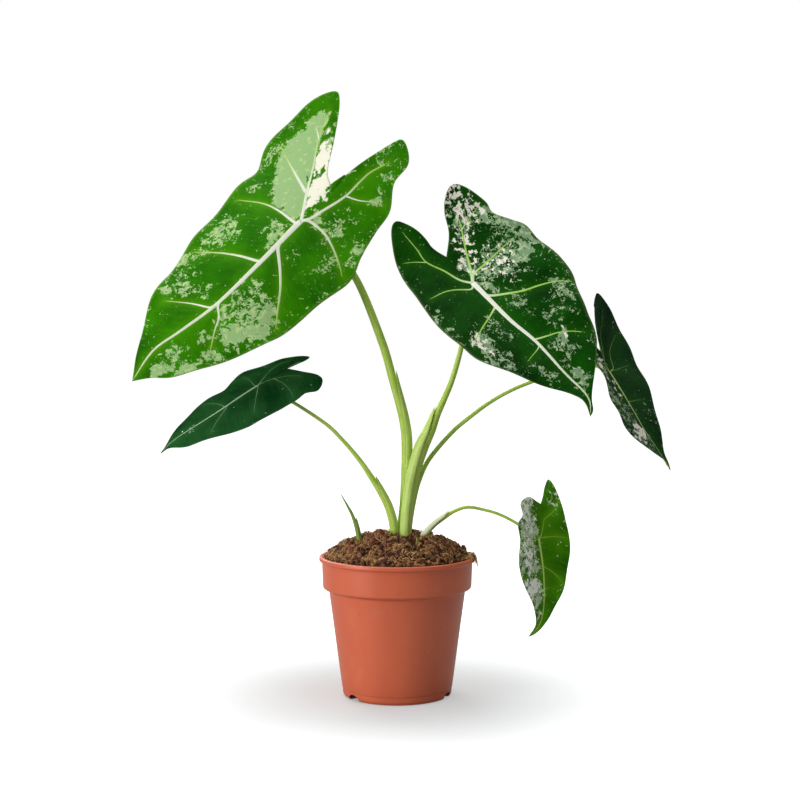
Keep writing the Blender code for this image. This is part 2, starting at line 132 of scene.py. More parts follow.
# %% [markdown]
# ## Mixing a finish
#
# A finish here is a small chain of nodes. Wiring each node by hand hides what the
# finish is, so a short class keeps the chain: most of its methods add one node and
# hand back its output, and a whole finish then reads like a recipe.


# %% A finish and its nodes
class Finish:
    """A material under way. Most methods add a node and return the socket that it gives. The methods
    surface, bump and glow_through link what they are given to the shader or the output."""

    def __init__(self, name):
        self.material = bpy.data.materials.new(name)
        self.material.use_nodes = True
        self.tree = self.material.node_tree
        self.shader = self.tree.nodes["Principled BSDF"]

    def give(self, socket, value):
        """Links a socket to another one, or sets it to a plain number or colour."""
        if isinstance(value, bpy.types.NodeSocket):
            self.tree.links.new(value, socket)
        else:
            socket.default_value = value

    def surface(self, values):
        """Gives the shader's own sockets their numbers, colours or links."""
        for socket, value in values.items():
            self.give(self.shader.inputs[socket], value)

    def node(self, kind, output, inputs, **settings):
        """Adds a node with its settings and inputs, and hands back one of its outputs."""
        made = self.tree.nodes.new("ShaderNode" + kind)
        for setting, value in settings.items():
            setattr(made, setting, value)
        for socket, value in inputs.items():
            self.give(made.inputs[socket], value)
        return made.outputs[output]

    def attribute(self, name, output="Fac"):
        """Reads one of the piece's own attributes."""
        return self.node("Attribute", output, {}, attribute_name=name)

    def place(self):
        """Reads the point's place on the piece, in metres."""
        return self.node("TexCoord", "Object", {})

    def stretch(self, vector, scale, shift=(0, 0, 0)):
        """Stretches and shifts a place before a pattern reads it."""
        return self.node("Mapping", "Vector", {"Vector": vector, "Scale": scale, "Location": shift})

    def noise(self, vector, scale, detail=4.0, roughness=0.6, distortion=0.0):
        """Cloudy noise from 0 to 1, with its middle at a half."""
        inputs = {"Vector": vector, "Scale": scale, "Detail": detail}
        inputs.update({"Roughness": roughness, "Distortion": distortion})
        return self.node("TexNoise", "Fac", inputs)

    def math(self, operation, first, second=0.0, third=0.0):
        """A sum, product or other operation on two numbers, or on three."""
        return self.node("Math", "Value", {0: first, 1: second, 2: third}, operation=operation)

    def ease(self, value, low, high, bottom=0.0, top=1.0):
        """Turns a number from low to high into one from bottom to top, with soft ends."""
        inputs = {"Value": value, "From Min": low, "From Max": high, "To Min": bottom, "To Max": top}
        return self.node("MapRange", "Result", inputs, interpolation_type="SMOOTHSTEP")

    def mix(self, share, first, second):
        """Mixes two colours."""
        return self.node("Mix", 2, {"Factor": share, 6: first, 7: second}, data_type="RGBA")

    def splash(self, field, noise, rough_edge):
        """A blotch with a crisp, ragged edge: noise is added to a smooth field and cut at a half."""
        ragged = self.math("MULTIPLY_ADD", self.math("SUBTRACT", noise, 0.5), rough_edge, field)
        return self.ease(ragged, 0.47, 0.55)

    def bump(self, height, depth, strength=1.0):
        """Raises the surface by a height from 0 to 1 times a depth in metres."""
        inputs = {"Height": height, "Distance": depth, "Strength": strength}
        self.surface({"Normal": self.node("Bump", "Normal", inputs)})

    def glow_through(self, color, share):
        """Lets a share of the light through the piece, as a thin leaf does."""
        through = self.node("BsdfTranslucent", "BSDF", {"Color": color})
        both = {"Fac": share, 1: self.shader.outputs["BSDF"], 2: through}
        output = self.tree.nodes["Material Output"].inputs["Surface"]
        self.give(output, self.node("MixShader", "Shader", both))


def tone(red, green, blue):
    """A colour as Blender mixes it, from the 0 to 255 values that a screen shows."""
    share = np.array([red, green, blue]) / 255
    linear = np.where(share > 0.04045, ((share + 0.055) / 1.055) ** 2.4, share / 12.92)
    return (*(float(value) for value in linear), 1.0)


print("a mid grey of 128 mixes as", round(tone(128, 128, 128)[0], 3))

# %% [markdown]
# ## Surfaces from arrays
#
# Every new piece is a grid of points. The rows of the grid follow the piece, such
# as down a stalk, and the columns go round or across it. Neighbouring rows and
# columns are joined into four-sided faces, and any end is closed with one face.


# %% Grids, skins and pieces
def unit(vectors):
    """The vectors, each made one unit long."""
    return vectors / np.linalg.norm(vectors, axis=-1, keepdims=True)


def turns(count):
    """Angles at equal steps all the way round, in radians."""
    return np.arange(count) * 2 * pi / count


def grid_faces(rows, columns, ring=False):
    """Faces of a grid numbered row by row. With ring, the last column joins the first."""
    i, j = np.meshgrid(np.arange(rows - 1), np.arange(columns - (not ring)), indexing="ij")
    after = (j + 1) % columns
    here, ahead = i * columns, (i + 1) * columns
    return np.stack([here + j, here + after, ahead + after, ahead + j], -1).reshape(-1, 4)


def skin(rings):
    """Closed skin over rings of points: faces between neighbours and one over each end."""
    count, around = rings.shape[:2]
    sides = grid_faces(count, around, ring=True).tolist()
    start = np.arange(around)[::-1].tolist()
    end = (np.arange(around) + (count - 1) * around).tolist()
    return rings.reshape(-1, 3), sides + [start, end]


def many_skins(rings):
    """Skins over many sets of rings at once, as one list of points and faces."""
    copies, count, around = rings.shape[:3]
    step = (np.arange(copies) * count * around)[:, None, None]
    sides = (grid_faces(count, around, ring=True)[None] + step).reshape(-1, 4)
    start = np.arange(around)[::-1][None] + step[:, 0]
    end = np.arange(around)[None] + (count - 1) * around + step[:, 0]
    return rings.reshape(-1, 3), sides.tolist() + start.tolist() + end.tolist()


def gathered(parts):
    """Joins parts, each of points, faces and attributes, into one, and renumbers their faces."""
    points, faces, fields = zip(*parts)
    starts = np.cumsum([0] + [len(part) for part in points]).tolist()
    moved = []
    for start, part in zip(starts, faces):
        moved += [[start + corner for corner in face] for face in part]
    joined = {key: np.concatenate([part[key] for part in fields]) for key in fields[0]}
    return np.vstack(points), moved, joined


def new_piece(name, points, faces, finishes, slot, node=None, **attributes):
    """Makes a smooth object from points in millimetres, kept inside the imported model's box."""
    low, high = (np.array(corner) for corner in cad_box)
    inside = np.clip(np.asarray(points, float) * MM, low, high)
    mesh = bpy.data.meshes.new(name)
    mesh.from_pydata(inside, [], faces)
    for label, values in attributes.items():
        kind = "FLOAT_VECTOR" if np.ndim(values) == 2 else "FLOAT"
        layer = mesh.attributes.new(label, kind, "POINT")
        layer.data.foreach_set("vector" if np.ndim(values) == 2 else "value", np.ravel(values))
    mesh.polygons.foreach_set("use_smooth", np.ones(len(mesh.polygons), bool))
    piece = bpy.data.objects.new(name, mesh)
    bpy.context.scene.collection.objects.link(piece)
    plant_only.objects.link(piece)
    for finish in finishes:
        mesh.materials.append(finish)
    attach(piece, "root")
    if node:
        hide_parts(node)
    print(name, "has", len(mesh.vertices), "points and", len(mesh.polygons), "faces")
    return piece


# %% Curves through points
def smooth_curve(points, steps):
    """A curve that leaves each point along the line between its neighbours, as in the solids."""
    points = np.asarray(points, float)
    before = np.vstack([2 * points[0] - points[1], points[:-1]])
    after = np.vstack([points[1:], 2 * points[-1] - points[-2]])
    slope = (after - before) / 2
    share = (np.arange(steps) / steps)[None, :, None]
    curve = (
        (2 * share**3 - 3 * share**2 + 1) * points[:-1, None]
        + (share**3 - 2 * share**2 + share) * slope[:-1, None]
        + (3 * share**2 - 2 * share**3) * points[1:, None]
        + (share**3 - share**2) * slope[1:, None]
    )
    return np.vstack([curve.reshape(-1, points.shape[1]), points[-1:]])


def run_of(line):
    """Distance along a line of points from its start to each of them."""
    return np.concatenate([[0], np.cumsum(np.linalg.norm(np.diff(line, axis=0), axis=1))])


def evenly(curve, count):
    """count + 1 points at even distances along a line of points, whatever their dimensions."""
    length = run_of(curve)
    wanted = np.linspace(0, length[-1], count + 1)
    columns = [np.interp(wanted, length, column) for column in np.asarray(curve).T]
    return np.stack(columns, axis=1)


def carried_frame(path):
    """Tangent, side and back at each point of a path, carried along it with no needless twist."""
    tangent = unit(np.gradient(path, axis=0))
    side = [np.cross(tangent[0], (0.0, 1.0, 0.0))]
    for ahead in tangent:
        side.append(unit(side[-1] - ahead * (side[-1] @ ahead)))
    side = np.array(side[1:])
    return tangent, side, np.cross(tangent, side)


bent = smooth_curve([(0, 0), (10, 0), (10, 10)], 8)
print("a test curve through 3 points has", len(bent), "points")

# %% [markdown]
# ## The pot
#
# A nursery pot is blow-moulded in one thin wall: a rolled lip, a plain band under
# it, a ledge where pots stack, and a cone down to a foot with three arched drain
# notches. A shape that is the same all the way round is a section turned about the
# upright axis. The section is rounded at each corner first, because sharp corners
# catch no light. The notches are then cut through the wall with solid drums.

# %% The pot's measures, in millimetres
RIM_RADIUS, POT_HEIGHT, LIP_DROP = 60.0, 107.5, 3.6
BAND_TOP_RADIUS, BAND_FOOT_RADIUS, BAND_FOOT = 57.8, 57.2, 83.2
LEDGE_RADIUS, LEDGE_DROP = 52.4, 1.8
FOOT_RADIUS, FOOT_ROUND, WALL = 41.6, 2.4, 1.2
FOOT_LINE = 6.2
POT_SIDES = 240
ledge_height = BAND_FOOT - LEDGE_DROP
lip_foot = POT_HEIGHT - LIP_DROP
slope = (LEDGE_RADIUS - FOOT_RADIUS) / ledge_height
print("the wall leans out by", round(slope, 3), "for each millimetre of height")


# %% The pot's section
def rounded(corners, radius, steps=4):
    """Rounds each inner corner of a line: a quadratic bend from a radius before it to one after."""
    corners = np.asarray(corners, float)
    before, here, after = corners[:-2], corners[1:-1], corners[2:]
    back, ahead = before - here, after - here
    back_length = np.linalg.norm(back, axis=1, keepdims=True)
    ahead_length = np.linalg.norm(ahead, axis=1, keepdims=True)
    start = here + back * np.minimum(radius / back_length, 0.45)
    end = here + ahead * np.minimum(radius / ahead_length, 0.45)
    share = np.linspace(0, 1, steps + 1)[None, :, None]
    bend = (1 - share) ** 2 * start[:, None] + 2 * share * (1 - share) * here[:, None]
    bend = bend + share**2 * end[:, None]
    return np.vstack([corners[:1], bend.reshape(-1, 2), corners[-1:]])


inner_wall = [
    (0.5, WALL),
    (FOOT_RADIUS - FOOT_ROUND - 0.4, WALL),
    (FOOT_RADIUS - WALL, FOOT_ROUND + 0.4),
    (LEDGE_RADIUS - WALL, ledge_height),
    (BAND_FOOT_RADIUS - WALL, BAND_FOOT + WALL),
    (BAND_FOOT_RADIUS - WALL, POT_HEIGHT - 0.4),
]
outer_wall = [
    (RIM_RADIUS - 1.6, POT_HEIGHT),
    (RIM_RADIUS, POT_HEIGHT - 0.4),
    (RIM_RADIUS, lip_foot + 0.3),
    (BAND_TOP_RADIUS + 0.2, lip_foot - 0.3),
    (BAND_TOP_RADIUS, lip_foot - 2.0),
    (BAND_FOOT_RADIUS, BAND_FOOT + 0.9),
    (BAND_FOOT_RADIUS - 0.7, BAND_FOOT),
    (LEDGE_RADIUS + 0.6, ledge_height + 0.3),
    (LEDGE_RADIUS, ledge_height - 0.7),
    (FOOT_RADIUS + slope * (FOOT_LINE + 0.5), FOOT_LINE + 0.5),
    (FOOT_RADIUS + slope * FOOT_LINE - 0.35, FOOT_LINE),
    (FOOT_RADIUS + slope * FOOT_ROUND, FOOT_ROUND),
    (FOOT_RADIUS - 0.6, 0.6),
    (FOOT_RADIUS - FOOT_ROUND, 0.0),
    (0.5, 0.0),
]
section = rounded(inner_wall + outer_wall, 0.7)
print("the section has", len(section), "points")


# %% Turning the section
def turned(section, sides):
    """Rings of a turned shape: radius and height go round the upright axis in equal steps."""
    angle = turns(sides)
    radius = section[:, 0, None]
    height = np.broadcast_to(section[:, 1, None], (len(section), sides))
    return np.stack([radius * np.cos(angle), radius * np.sin(angle), height], -1)


def pot_finish():
    """Terracotta-coloured plastic: satin, with faint flow marks, dusty scuffs, and darker towards the
    foot.
    """
    f = Finish("pot_plastic")
    place = f.place()
    flow = f.noise(f.stretch(place, (14, 14, 5)), 1.0, detail=3)
    color = f.mix(f.ease(flow, 0.3, 0.7), tone(200, 93, 60), tone(212, 103, 67))
    dust = f.ease(f.noise(place, 55.0, detail=6, roughness=0.7), 0.56, 0.72)
    low = f.ease(f.node("SeparateXYZ", "Z", {0: place}), 0.0, 0.02, 1.0, 0.0)
    color = f.mix(f.math("MULTIPLY", dust, 0.16), color, tone(208, 140, 112))
    color = f.mix(f.math("MULTIPLY", low, 0.18), color, tone(150, 62, 40))
    nicks = f.ease(f.noise(f.stretch(place, (1, 1, 0.5)), 420.0, detail=2), 0.735, 0.76)
    color = f.mix(f.math("MULTIPLY", nicks, 0.6), color, tone(110, 48, 34))
    rough = f.ease(dust, 0.0, 1.0, 0.36, 0.55)
    f.surface({"Base Color": color, "Roughness": rough, "Specular IOR Level": 0.45})
    skin_grain = f.noise(place, 900.0, detail=2)
    f.bump(f.math("ADD", f.math("MULTIPLY", skin_grain, 0.3), flow), 0.00025, 0.5)
    return f.material


pot_rings = turned(section, POT_SIDES)
print("pot rings:", pot_rings.shape)

# %% The pot with its drain notches
NOTCH_RADIUS, NOTCH_ARCH, NOTCH_REACH, NOTCH_SIDES = 6.5, 4.875, 7.0, 40
NOTCH_ANGLES = [radians(-53 + 120 * turn) for turn in range(3)]


def notch_drum(angle):
    """A drum lying along the radius at an angle from the front, flattened to a low arch."""
    out = np.array([np.sin(angle), -np.cos(angle), 0.0])
    across = np.array([np.cos(angle), np.sin(angle), 0.0])
    turn = turns(NOTCH_SIDES)
    ring = NOTCH_RADIUS * np.cos(turn)[:, None] * across
    ring = ring + NOTCH_ARCH * np.sin(turn)[:, None] * np.array([0.0, 0.0, 1.0])
    ends = np.array([FOOT_RADIUS - NOTCH_REACH, FOOT_RADIUS + NOTCH_REACH])
    points, faces = skin(ends[:, None, None] * out + ring[None])
    mesh = bpy.data.meshes.new("drum")
    mesh.from_pydata(points * MM, [], faces)
    mend(mesh, turn_outwards)
    drum = bpy.data.objects.new("drum", mesh)
    bpy.context.scene.collection.objects.link(drum)
    return drum


def mend(mesh, *steps):
    """Takes a mesh through steps that each change an editable copy of it."""
    shape = bmesh.new()
    shape.from_mesh(mesh)
    for step in steps:
        step(shape)
    shape.to_mesh(mesh)
    shape.free()


def turn_outwards(shape):
    """Turns the faces of a closed shape to point outwards."""
    bmesh.ops.recalc_face_normals(shape, faces=shape.faces)


def weld(shape):
    """Merges points closer than a hundredth of a millimetre, and drops faces with no area."""
    bmesh.ops.remove_doubles(shape, verts=shape.verts, dist=0.01 * MM)
    bmesh.ops.dissolve_degenerate(shape, edges=shape.edges, dist=0.002 * MM)


def fill_gaps(shape):
    """Closes every loop of open edges with one face."""
    gaps = [edge for edge in shape.edges if edge.is_boundary]
    bmesh.ops.holes_fill(shape, edges=gaps, sides=0)


def with_modifiers(piece):
    """Gives the piece the mesh that its modifiers make, and clears them."""
    graph = bpy.context.evaluated_depsgraph_get()
    shaped = bpy.data.meshes.new_from_object(piece.evaluated_get(graph))
    piece.modifiers.clear()
    piece.data = shaped


points, faces = skin(pot_rings)
pot = new_piece("nursery_pot", points, faces, [pot_finish()], "pot", "pot")
mend(pot.data, turn_outwards)
drums = [notch_drum(angle) for angle in NOTCH_ANGLES]
for drum in drums:
    cut = pot.modifiers.new("notch", "BOOLEAN")
    cut.operation = "DIFFERENCE"
    cut.solver = "EXACT"
    cut.object = drum
with_modifiers(pot)
for drum in drums:
    bpy.data.objects.remove(drum, do_unlink=True)
mend(pot.data, weld)
mend(pot.data, fill_gaps, turn_outwards)
pot.data.set_sharp_from_angle(angle=radians(35))
print("the pot has", len(pot.data.polygons), "faces after its notches")

# %% [markdown]
# ## The soil
#
# The plant stands in coir: brown fibres, crumbs and a few chips of bark, heaped
# up round the crown. One surface carries the heap, and thousands of loose bits lie
# on it, since the edge of real potting mix is never a clean line. All the bits of
# one kind are worked out together, as one array, from seeded random numbers.

# %% The heap's height
SOIL_EDGE_HEIGHT, MOUND_HEIGHT, RELIEF, GAP = 106.0, 17.5, 1.3, 0.3
HOLLOWS = {"shoot_2": (15, -26, 3.4, 70), "shoot_1": (-31, -8, 3.6, 90)}
soil_rim = BAND_FOOT_RADIUS - WALL - GAP
chance = np.random.default_rng(11)
WAVES, WAVE_SCALE = 60, 55
wave_length = chance.uniform(1.8, 9.0, WAVES)
wave_angle = chance.uniform(0, 2 * pi, WAVES)
wave_start = chance.uniform(0, 2 * pi, WAVES)
wave_x = 2 * pi * np.cos(wave_angle) / wave_length
wave_y = 2 * pi * np.sin(wave_angle) / wave_length


def crumble(x, y):
    """Sixty waves of random length and direction, each as high as it is long, added up and scaled
    down: a rough ground with no pattern."""
    phase = x[..., None] * wave_x + y[..., None] * wave_y + wave_start
    return (np.sin(phase) * wave_length).sum(-1) / WAVE_SCALE


def heap(x, y):
    """Height of the soil at a place: the dome and lumps of the solid, plus the crumble, less a
    round hollow at each shoot. A hollow is a place, a depth and a spread."""
    radius = np.hypot(x, y) / (BAND_FOOT_RADIUS - WALL)
    dome = MOUND_HEIGHT * np.clip(1 - radius**2.2, 0, 1) ** 0.8
    lumps = (
        np.sin(0.21 * x + 1.3) * np.cos(0.17 * y - 0.4)
        + 0.6 * np.sin(0.37 * x - 0.29 * y + 2.1)
        + 0.5 * np.cos(0.51 * y + 0.33 * x)
    )
    fade = np.clip((1 - radius) * 5, 0, 1)
    rough = crumble(x, y) * np.clip((1 - radius) * 12, 0.2, 1)
    dips = [
        depth * np.exp(-((x - middle_x) ** 2 + (y - middle_y) ** 2) / spread)
        for middle_x, middle_y, depth, spread in HOLLOWS.values()
    ]
    return SOIL_EDGE_HEIGHT + dome + RELIEF * lumps * fade + rough - sum(dips)


print("the heap is", round(float(heap(np.array(0.0), np.array(0.0))), 1), "mm high at its middle")


# %% Finish of the soil
def soil_finish(name, dark, light):
    """Damp peat and coir, each bit in its own tone with a grainy face; painted shade in the bed's
    hollows.
    """
    f = Finish(name)
    place = f.place()
    grain = f.noise(place, 700.0, detail=5, roughness=0.7)
    cloud = f.noise(place, 110.0, detail=4)
    share = f.math("ADD", f.attribute("shade"), f.math("SUBTRACT", cloud, 0.5))
    share = f.math("ADD", share, f.math("SUBTRACT", grain, 0.5))
    color = f.mix(f.ease(share, 0.0, 1.0), dark, light)
    rough = f.ease(grain, 0.3, 0.7, 0.75, 0.98)
    f.surface({"Base Color": color, "Roughness": rough, "Specular IOR Level": 0.25})
    f.bump(grain, 0.0006, 0.8)
    return f.material


# %% The bed of soil
BED_SIDES, BED_RINGS = 260, 96
bed_radius = np.linspace(0.4, soil_rim, BED_RINGS)
bed_x = bed_radius[:, None] * np.cos(turns(BED_SIDES))
bed_y = bed_radius[:, None] * np.sin(turns(BED_SIDES))
bed_top = np.stack([bed_x, bed_y, heap(bed_x, bed_y)], -1)
under = np.array(
    [
        (soil_rim, BAND_FOOT + WALL + GAP),
        (LEDGE_RADIUS - WALL - GAP, ledge_height - 0.1),
        (FOOT_RADIUS - WALL - GAP - 0.1, FOOT_ROUND + 1.2),
        (FOOT_RADIUS - FOOT_ROUND - 1.0, WALL + GAP),
        (0.4, WALL + GAP),
    ]
)
bed_rings = np.concatenate([bed_top, turned(under, BED_SIDES)])[::-1]
points, faces = skin(bed_rings)
# The bed's tone follows the crumble of its surface: lower places are darker, painted shade in the
# hollows.
bed_tone_and_hollow_shade = 0.25 + 0.3 * crumble(points[:, 0], points[:, 1])
bed_finish = soil_finish("coir_bed", tone(30, 18, 12), tone(140, 92, 54))
new_piece("soil_bed", points, faces, [bed_finish], "soil", "soil", shade=bed_tone_and_hollow_shade)


# %% Crumbs of peat
def scattered(count, reach):
    """Random places on the heap, evenly spread over its area out to a reach in millimetres."""
    radius = reach * np.sqrt(chance.uniform(0, 1, count))
    turn = chance.uniform(0, 2 * pi, count)
    x, y = radius * np.cos(turn), radius * np.sin(turn)
    return np.stack([x, y, heap(x, y)], -1)


def random_turns(count):
    """Random turning matrices, from random four-part numbers made one unit long."""
    a, b, c, d = unit(chance.normal(size=(4, count)).T).T
    rows = [
        [1 - 2 * (c * c + d * d), 2 * (b * c - a * d), 2 * (b * d + a * c)],
        [2 * (b * c + a * d), 1 - 2 * (b * b + d * d), 2 * (c * d - a * b)],
        [2 * (b * d - a * c), 2 * (c * d + a * b), 1 - 2 * (b * b + c * c)],
    ]
    return np.moveaxis(np.array(rows), -1, 0)


def lumps(places, sizes, rings=5, around=7, flat=(1.0, 1.0, 1.0)):
    """Ragged lumps: a ball of rings whose points are pulled in and out at random, then turned."""
    count = len(places)
    fall = np.linspace(0.18, 0.82, rings) * pi
    turn = turns(around)
    x = np.sin(fall)[:, None] * np.cos(turn)
    y = np.sin(fall)[:, None] * np.sin(turn)
    z = np.broadcast_to(-np.cos(fall)[:, None], x.shape)
    ball = np.stack([x, y, z], -1)[None] * np.array(flat)
    ball = ball * chance.uniform(0.65, 1.25, (count, rings, around, 1))
    ball = ball * sizes[:, None, None, None]
    ball = np.einsum("cij,cruj->crui", random_turns(count), ball)
    return ball + places[:, None, None]


def soil_bits(name, bits, finish, darker=1.0):
    """One piece of many bits, each in a random shade: a number from 0 to 1 to the power darker."""
    points, faces = many_skins(bits)
    shade = chance.uniform(0, 1, len(bits)) ** darker
    shade = np.repeat(shade, len(points) // len(bits))
    return new_piece(name, points, faces, [finish], "soil", shade=shade)


CRUMBS = 1700
crumbs = lumps(scattered(CRUMBS, 55.0), chance.uniform(0.5, 1.9, CRUMBS) ** 1.1)
soil_bits("soil_crumbs", crumbs, soil_finish("peat_crumb", tone(32, 18, 12), tone(164, 114, 70)))

# %% Chips of bark
CHIPS = 110
chip_size = chance.uniform(1.6, 3.6, CHIPS)
chips = lumps(scattered(CHIPS, 52.0) + (0, 0, 0.6), chip_size, flat=(1.5, 0.75, 0.35))
soil_bits("bark_chips", chips, soil_finish("bark_chip", tone(60, 28, 22), tone(130, 74, 56)))


# %% Coir fibres
HEAP_REACH, FALL_FROM = 56.0, 59.0


def fibres(starts, headings, lengths, thick, rise, curl, stop, steps=9, around=3):
    """Thin tubes that leave a start along a heading, bend by their curl, arch by their rise and go
    no further from the middle than their stop. Past the rim they hang down."""
    share = np.linspace(0, 1, steps)[None, :]
    way = headings[:, None] + curl[:, None] * (share - 0.5)
    step = lengths[:, None] / (steps - 1)
    x = starts[:, 0, None] + np.cumsum(np.cos(way) * step, 1)
    y = starts[:, 1, None] + np.cumsum(np.sin(way) * step, 1)
    reach = np.hypot(x, y)
    held = np.minimum(1.0, stop[:, None] / reach)
    x, y, reach = x * held, y * held, reach * held
    over = np.clip(reach - FALL_FROM, 0, None)
    ground = np.where(reach < HEAP_REACH, heap(x, y), POT_HEIGHT)
    z = ground + 0.2 + rise[:, None] * np.sin(pi * share) - 1.1 * over**1.5
    path = np.stack([x, y, z], -1)
    ahead = unit(np.gradient(path, axis=1))
    side = np.cross(ahead, (0.0, 0.0, 1.0))
    side /= np.linalg.norm(side, axis=-1, keepdims=True) + 1e-9
    up = np.cross(ahead, side)
    turn = turns(around)
    width = thick[:, None] * (1 - 0.75 * share**2)
    ring = np.cos(turn)[:, None] * side[:, :, None] + np.sin(turn)[:, None] * up[:, :, None]
    return path[:, :, None] + width[..., None, None] * ring


COIR, STRAY, STRAY_START = 2100, 46, 54.0
coir = fibres(
    scattered(COIR, HEAP_REACH),
    chance.uniform(0, 2 * pi, COIR),
    chance.uniform(3.0, 13.0, COIR),
    chance.uniform(0.1, 0.32, COIR),
    chance.uniform(0.2, 2.4, COIR),
    chance.normal(0, 1.6, COIR),
    chance.uniform(52.0, 57.0, COIR),
)
stray_way = radians(-12) + chance.normal(0, 0.13, STRAY)
stray = fibres(
    STRAY_START * np.stack([np.cos(stray_way), np.sin(stray_way)], -1),
    stray_way + chance.normal(0, 0.5, STRAY),
    chance.uniform(6.0, 14.0, STRAY),
    chance.uniform(0.15, 0.4, STRAY),
    chance.uniform(0.5, 2.5, STRAY),
    chance.normal(0, 1.2, STRAY),
    chance.uniform(60.0, 64.5, STRAY),
)
fibre_finish = soil_finish("coir_fibre", tone(92, 50, 26), tone(232, 186, 124))
soil_bits("coir_fibres", np.concatenate([coir, stray]), fibre_finish, darker=1.3)

# %% [markdown]
# ## The leaves
#
# Each blade is drawn flat first, in its own coordinates: along the midrib from the
# stalk joint towards the tip, and across it. The flat drawing is then bent: folded
# at the midrib, arched along it, the two back lobes lifted, and the margin waved.
# These are the solid's own numbers, so the fine blade lies where the solid is.

# %% The blades' measures, in millimetres
# Places are in the frame, and lines are flat points. Each half has its edge in three runs: from
# the tip to abreast of the joint, on to the end of the lobe, and back to the sinus.
BLADES = {
    "blade_1": dict(
        joint=(-73, -10, 364), tip=(-193, -62, 245), face=(-0.15, -0.88, 0.45), folds=(-10, -10),
        arch=5, lobe_rise=110, knee=8, curl=3, half_width=55, wave=(1.6, 52, 0.1),
        slot="blade_bright", counts=(110, 52, 40), puff=1.1, vein_widths=(5.2, 2.5), flecks=0.8,
        midrib=[(177, 0), (150, -5), (125, 0), (92, 5), (48, 4), (0, 0)],
        sinus=(-37, -4), lobe_veins=[(-74, -46), (-71, 17)],
        edges=[[
            [(177, 0), (150, -20), (121, -42), (93, -50), (63, -59), (30, -65), (0, -71)],
            [(-17, -71), (-35, -81), (-55, -82), (-81, -76), (-97, -58)],
            [(-93, -47), (-69, -31), (-45, -15)],
        ], [
            [(177, 0), (166, 9), (151, 24), (111, 45), (86, 55), (61, 58), (33, 60), (8, 60)],
            [(-9, 54), (-33, 47), (-51, 45), (-68, 35), (-86, 34), (-95, 21)],
            [(-86, 13), (-64, 5)],
        ]],
    ),
    "blade_2": dict(
        joint=(57, -20, 317), tip=(140, -72, 220), face=(0.1, -0.86, 0.48), folds=(14, 14),
        arch=4, lobe_rise=75, knee=8, curl=3, half_width=50, wave=(1.4, 44, 0.4),
        slot="blade_dark", counts=(96, 44, 36), puff=1.1, vein_widths=(4.6, 2.1), flecks=0.6,
        midrib=[(138, 0), (125, 8), (100, 6), (68, 5), (41, 1), (0, 0)],
        sinus=(-30, -2), lobe_veins=[(-55, -20), (-49, 31)],
        edges=[[
            [(138, 0), (128, 3), (116, -3), (93, -23), (62, -43), (45, -48), (30, -51), (5, -50)],
            [(-12, -48), (-34, -45), (-49, -40), (-65, -30), (-70, -22)],
            [(-65, -15), (-55, -10), (-41, -8)],
        ], [
            [(138, 0), (135, 5), (124, 13), (94, 42), (73, 50), (56, 56), (42, 63), (26, 64), (3, 63)],
            [(-13, 63), (-24, 56), (-37, 49), (-48, 50), (-63, 42), (-70, 34)],
            [(-67, 25), (-58, 17), (-44, 11)],
        ]],
    ),
    "blade_3": dict(
        joint=(164, 6, 249), tip=(209, -8, 175), face=(0.78, -0.55, 0.3), folds=(0, 10),
        arch=3, lobe_rise=80, knee=5, curl=1, half_width=30, wave=(0.8, 34, 0.2),
        slot="blade_dark", counts=(64, 32, 26), puff=0.6, vein_widths=(2.0, 1.0), flecks=0.4,
        midrib=[(88, 0), (56, -7), (42, -7), (20, -4), (0, 0)],
        sinus=(-16, 4), lobe_veins=[(-25, -13), (-40, 14)],
        edges=[[
            [(88, 0), (79, -2), (71, -13), (62, -21), (43, -32), (30, -27), (18, -24), (6, -16)],
            [(-3, -11), (-14, -12), (-26, -20), (-36, -19)],
            [(-30, -8)],
        ], [
            [(88, 0), (81, 2), (72, 4), (54, 12), (37, 23), (22, 30), (7, 36)],
            [(-9, 41), (-26, 39), (-39, 28), (-50, 14), (-56, 2)],
            [(-48, 0), (-31, 5)],
        ]],
    ),
    "blade_4": dict(
        joint=(-105, -22, 240), tip=(-175, -48, 191), face=(-0.1, -0.55, 0.8), folds=(-12, -12),
        arch=4, lobe_rise=0, knee=7, curl=2, half_width=28, wave=(0.8, 36, 0.3),
        slot="blade_dark", counts=(60, 28, 24), puff=0.6, vein_widths=(1.7, 0.9), flecks=0.0,
        midrib=[(89, 0), (76, -1), (53, 2), (31, 3), (0, 0)],
        sinus=(-26, -3), lobe_veins=[(-34, -8), (-30, 16)],
        edges=[[
            [(89, 0), (76, -6), (64, -12), (47, -21), (33, -22), (21, -21), (10, -28), (-1, -32)],
            [(-13, -29), (-28, -24), (-39, -14), (-47, -3)],
            [(-42, 0), (-34, -2)],
        ], [
            [(89, 0), (82, 2), (71, 12), (52, 21), (39, 26), (27, 30), (17, 30), (4, 29)],
            [(-14, 29), (-24, 27), (-33, 29), (-41, 24)],
            [(-41, 17), (-34, 7)],
        ]],
    ),
    "blade_5": dict(
        joint=(109, -4, 121), tip=(101, -14, 47), face=(0.35, -0.9, 0.1), folds=(25, 15),
        arch=2, lobe_rise=-40, knee=6, curl=1, half_width=24, wave=(0.8, 30, 0.6),
        slot="blade_mid", counts=(60, 30, 24), puff=0.6, vein_widths=(2.0, 1.1), flecks=0.5,
        midrib=[(75, 0), (66, 7), (52, 9), (26, 6), (0, 0)],
        sinus=(-27, 2), lobe_veins=[(-20, -10), (-33, 13)],
        edges=[[
            [(75, 0), (64, 4), (52, -2), (39, -12), (24, -21), (15, -22), (3, -20)],
            [(-9, -24), (-17, -18), (-25, -19), (-30, -13)],
            [(-31, -6)],
        ], [
            [(75, 0), (72, 5), (60, 14), (45, 20), (32, 24), (14, 25), (-3, 25)],
            [(-18, 21), (-32, 19), (-42, 16), (-47, 12)],
            [(-41, 8), (-33, 5)],
        ]],
    ),
}
CREASE = 4.0
print("blades:", ", ".join(BLADES))

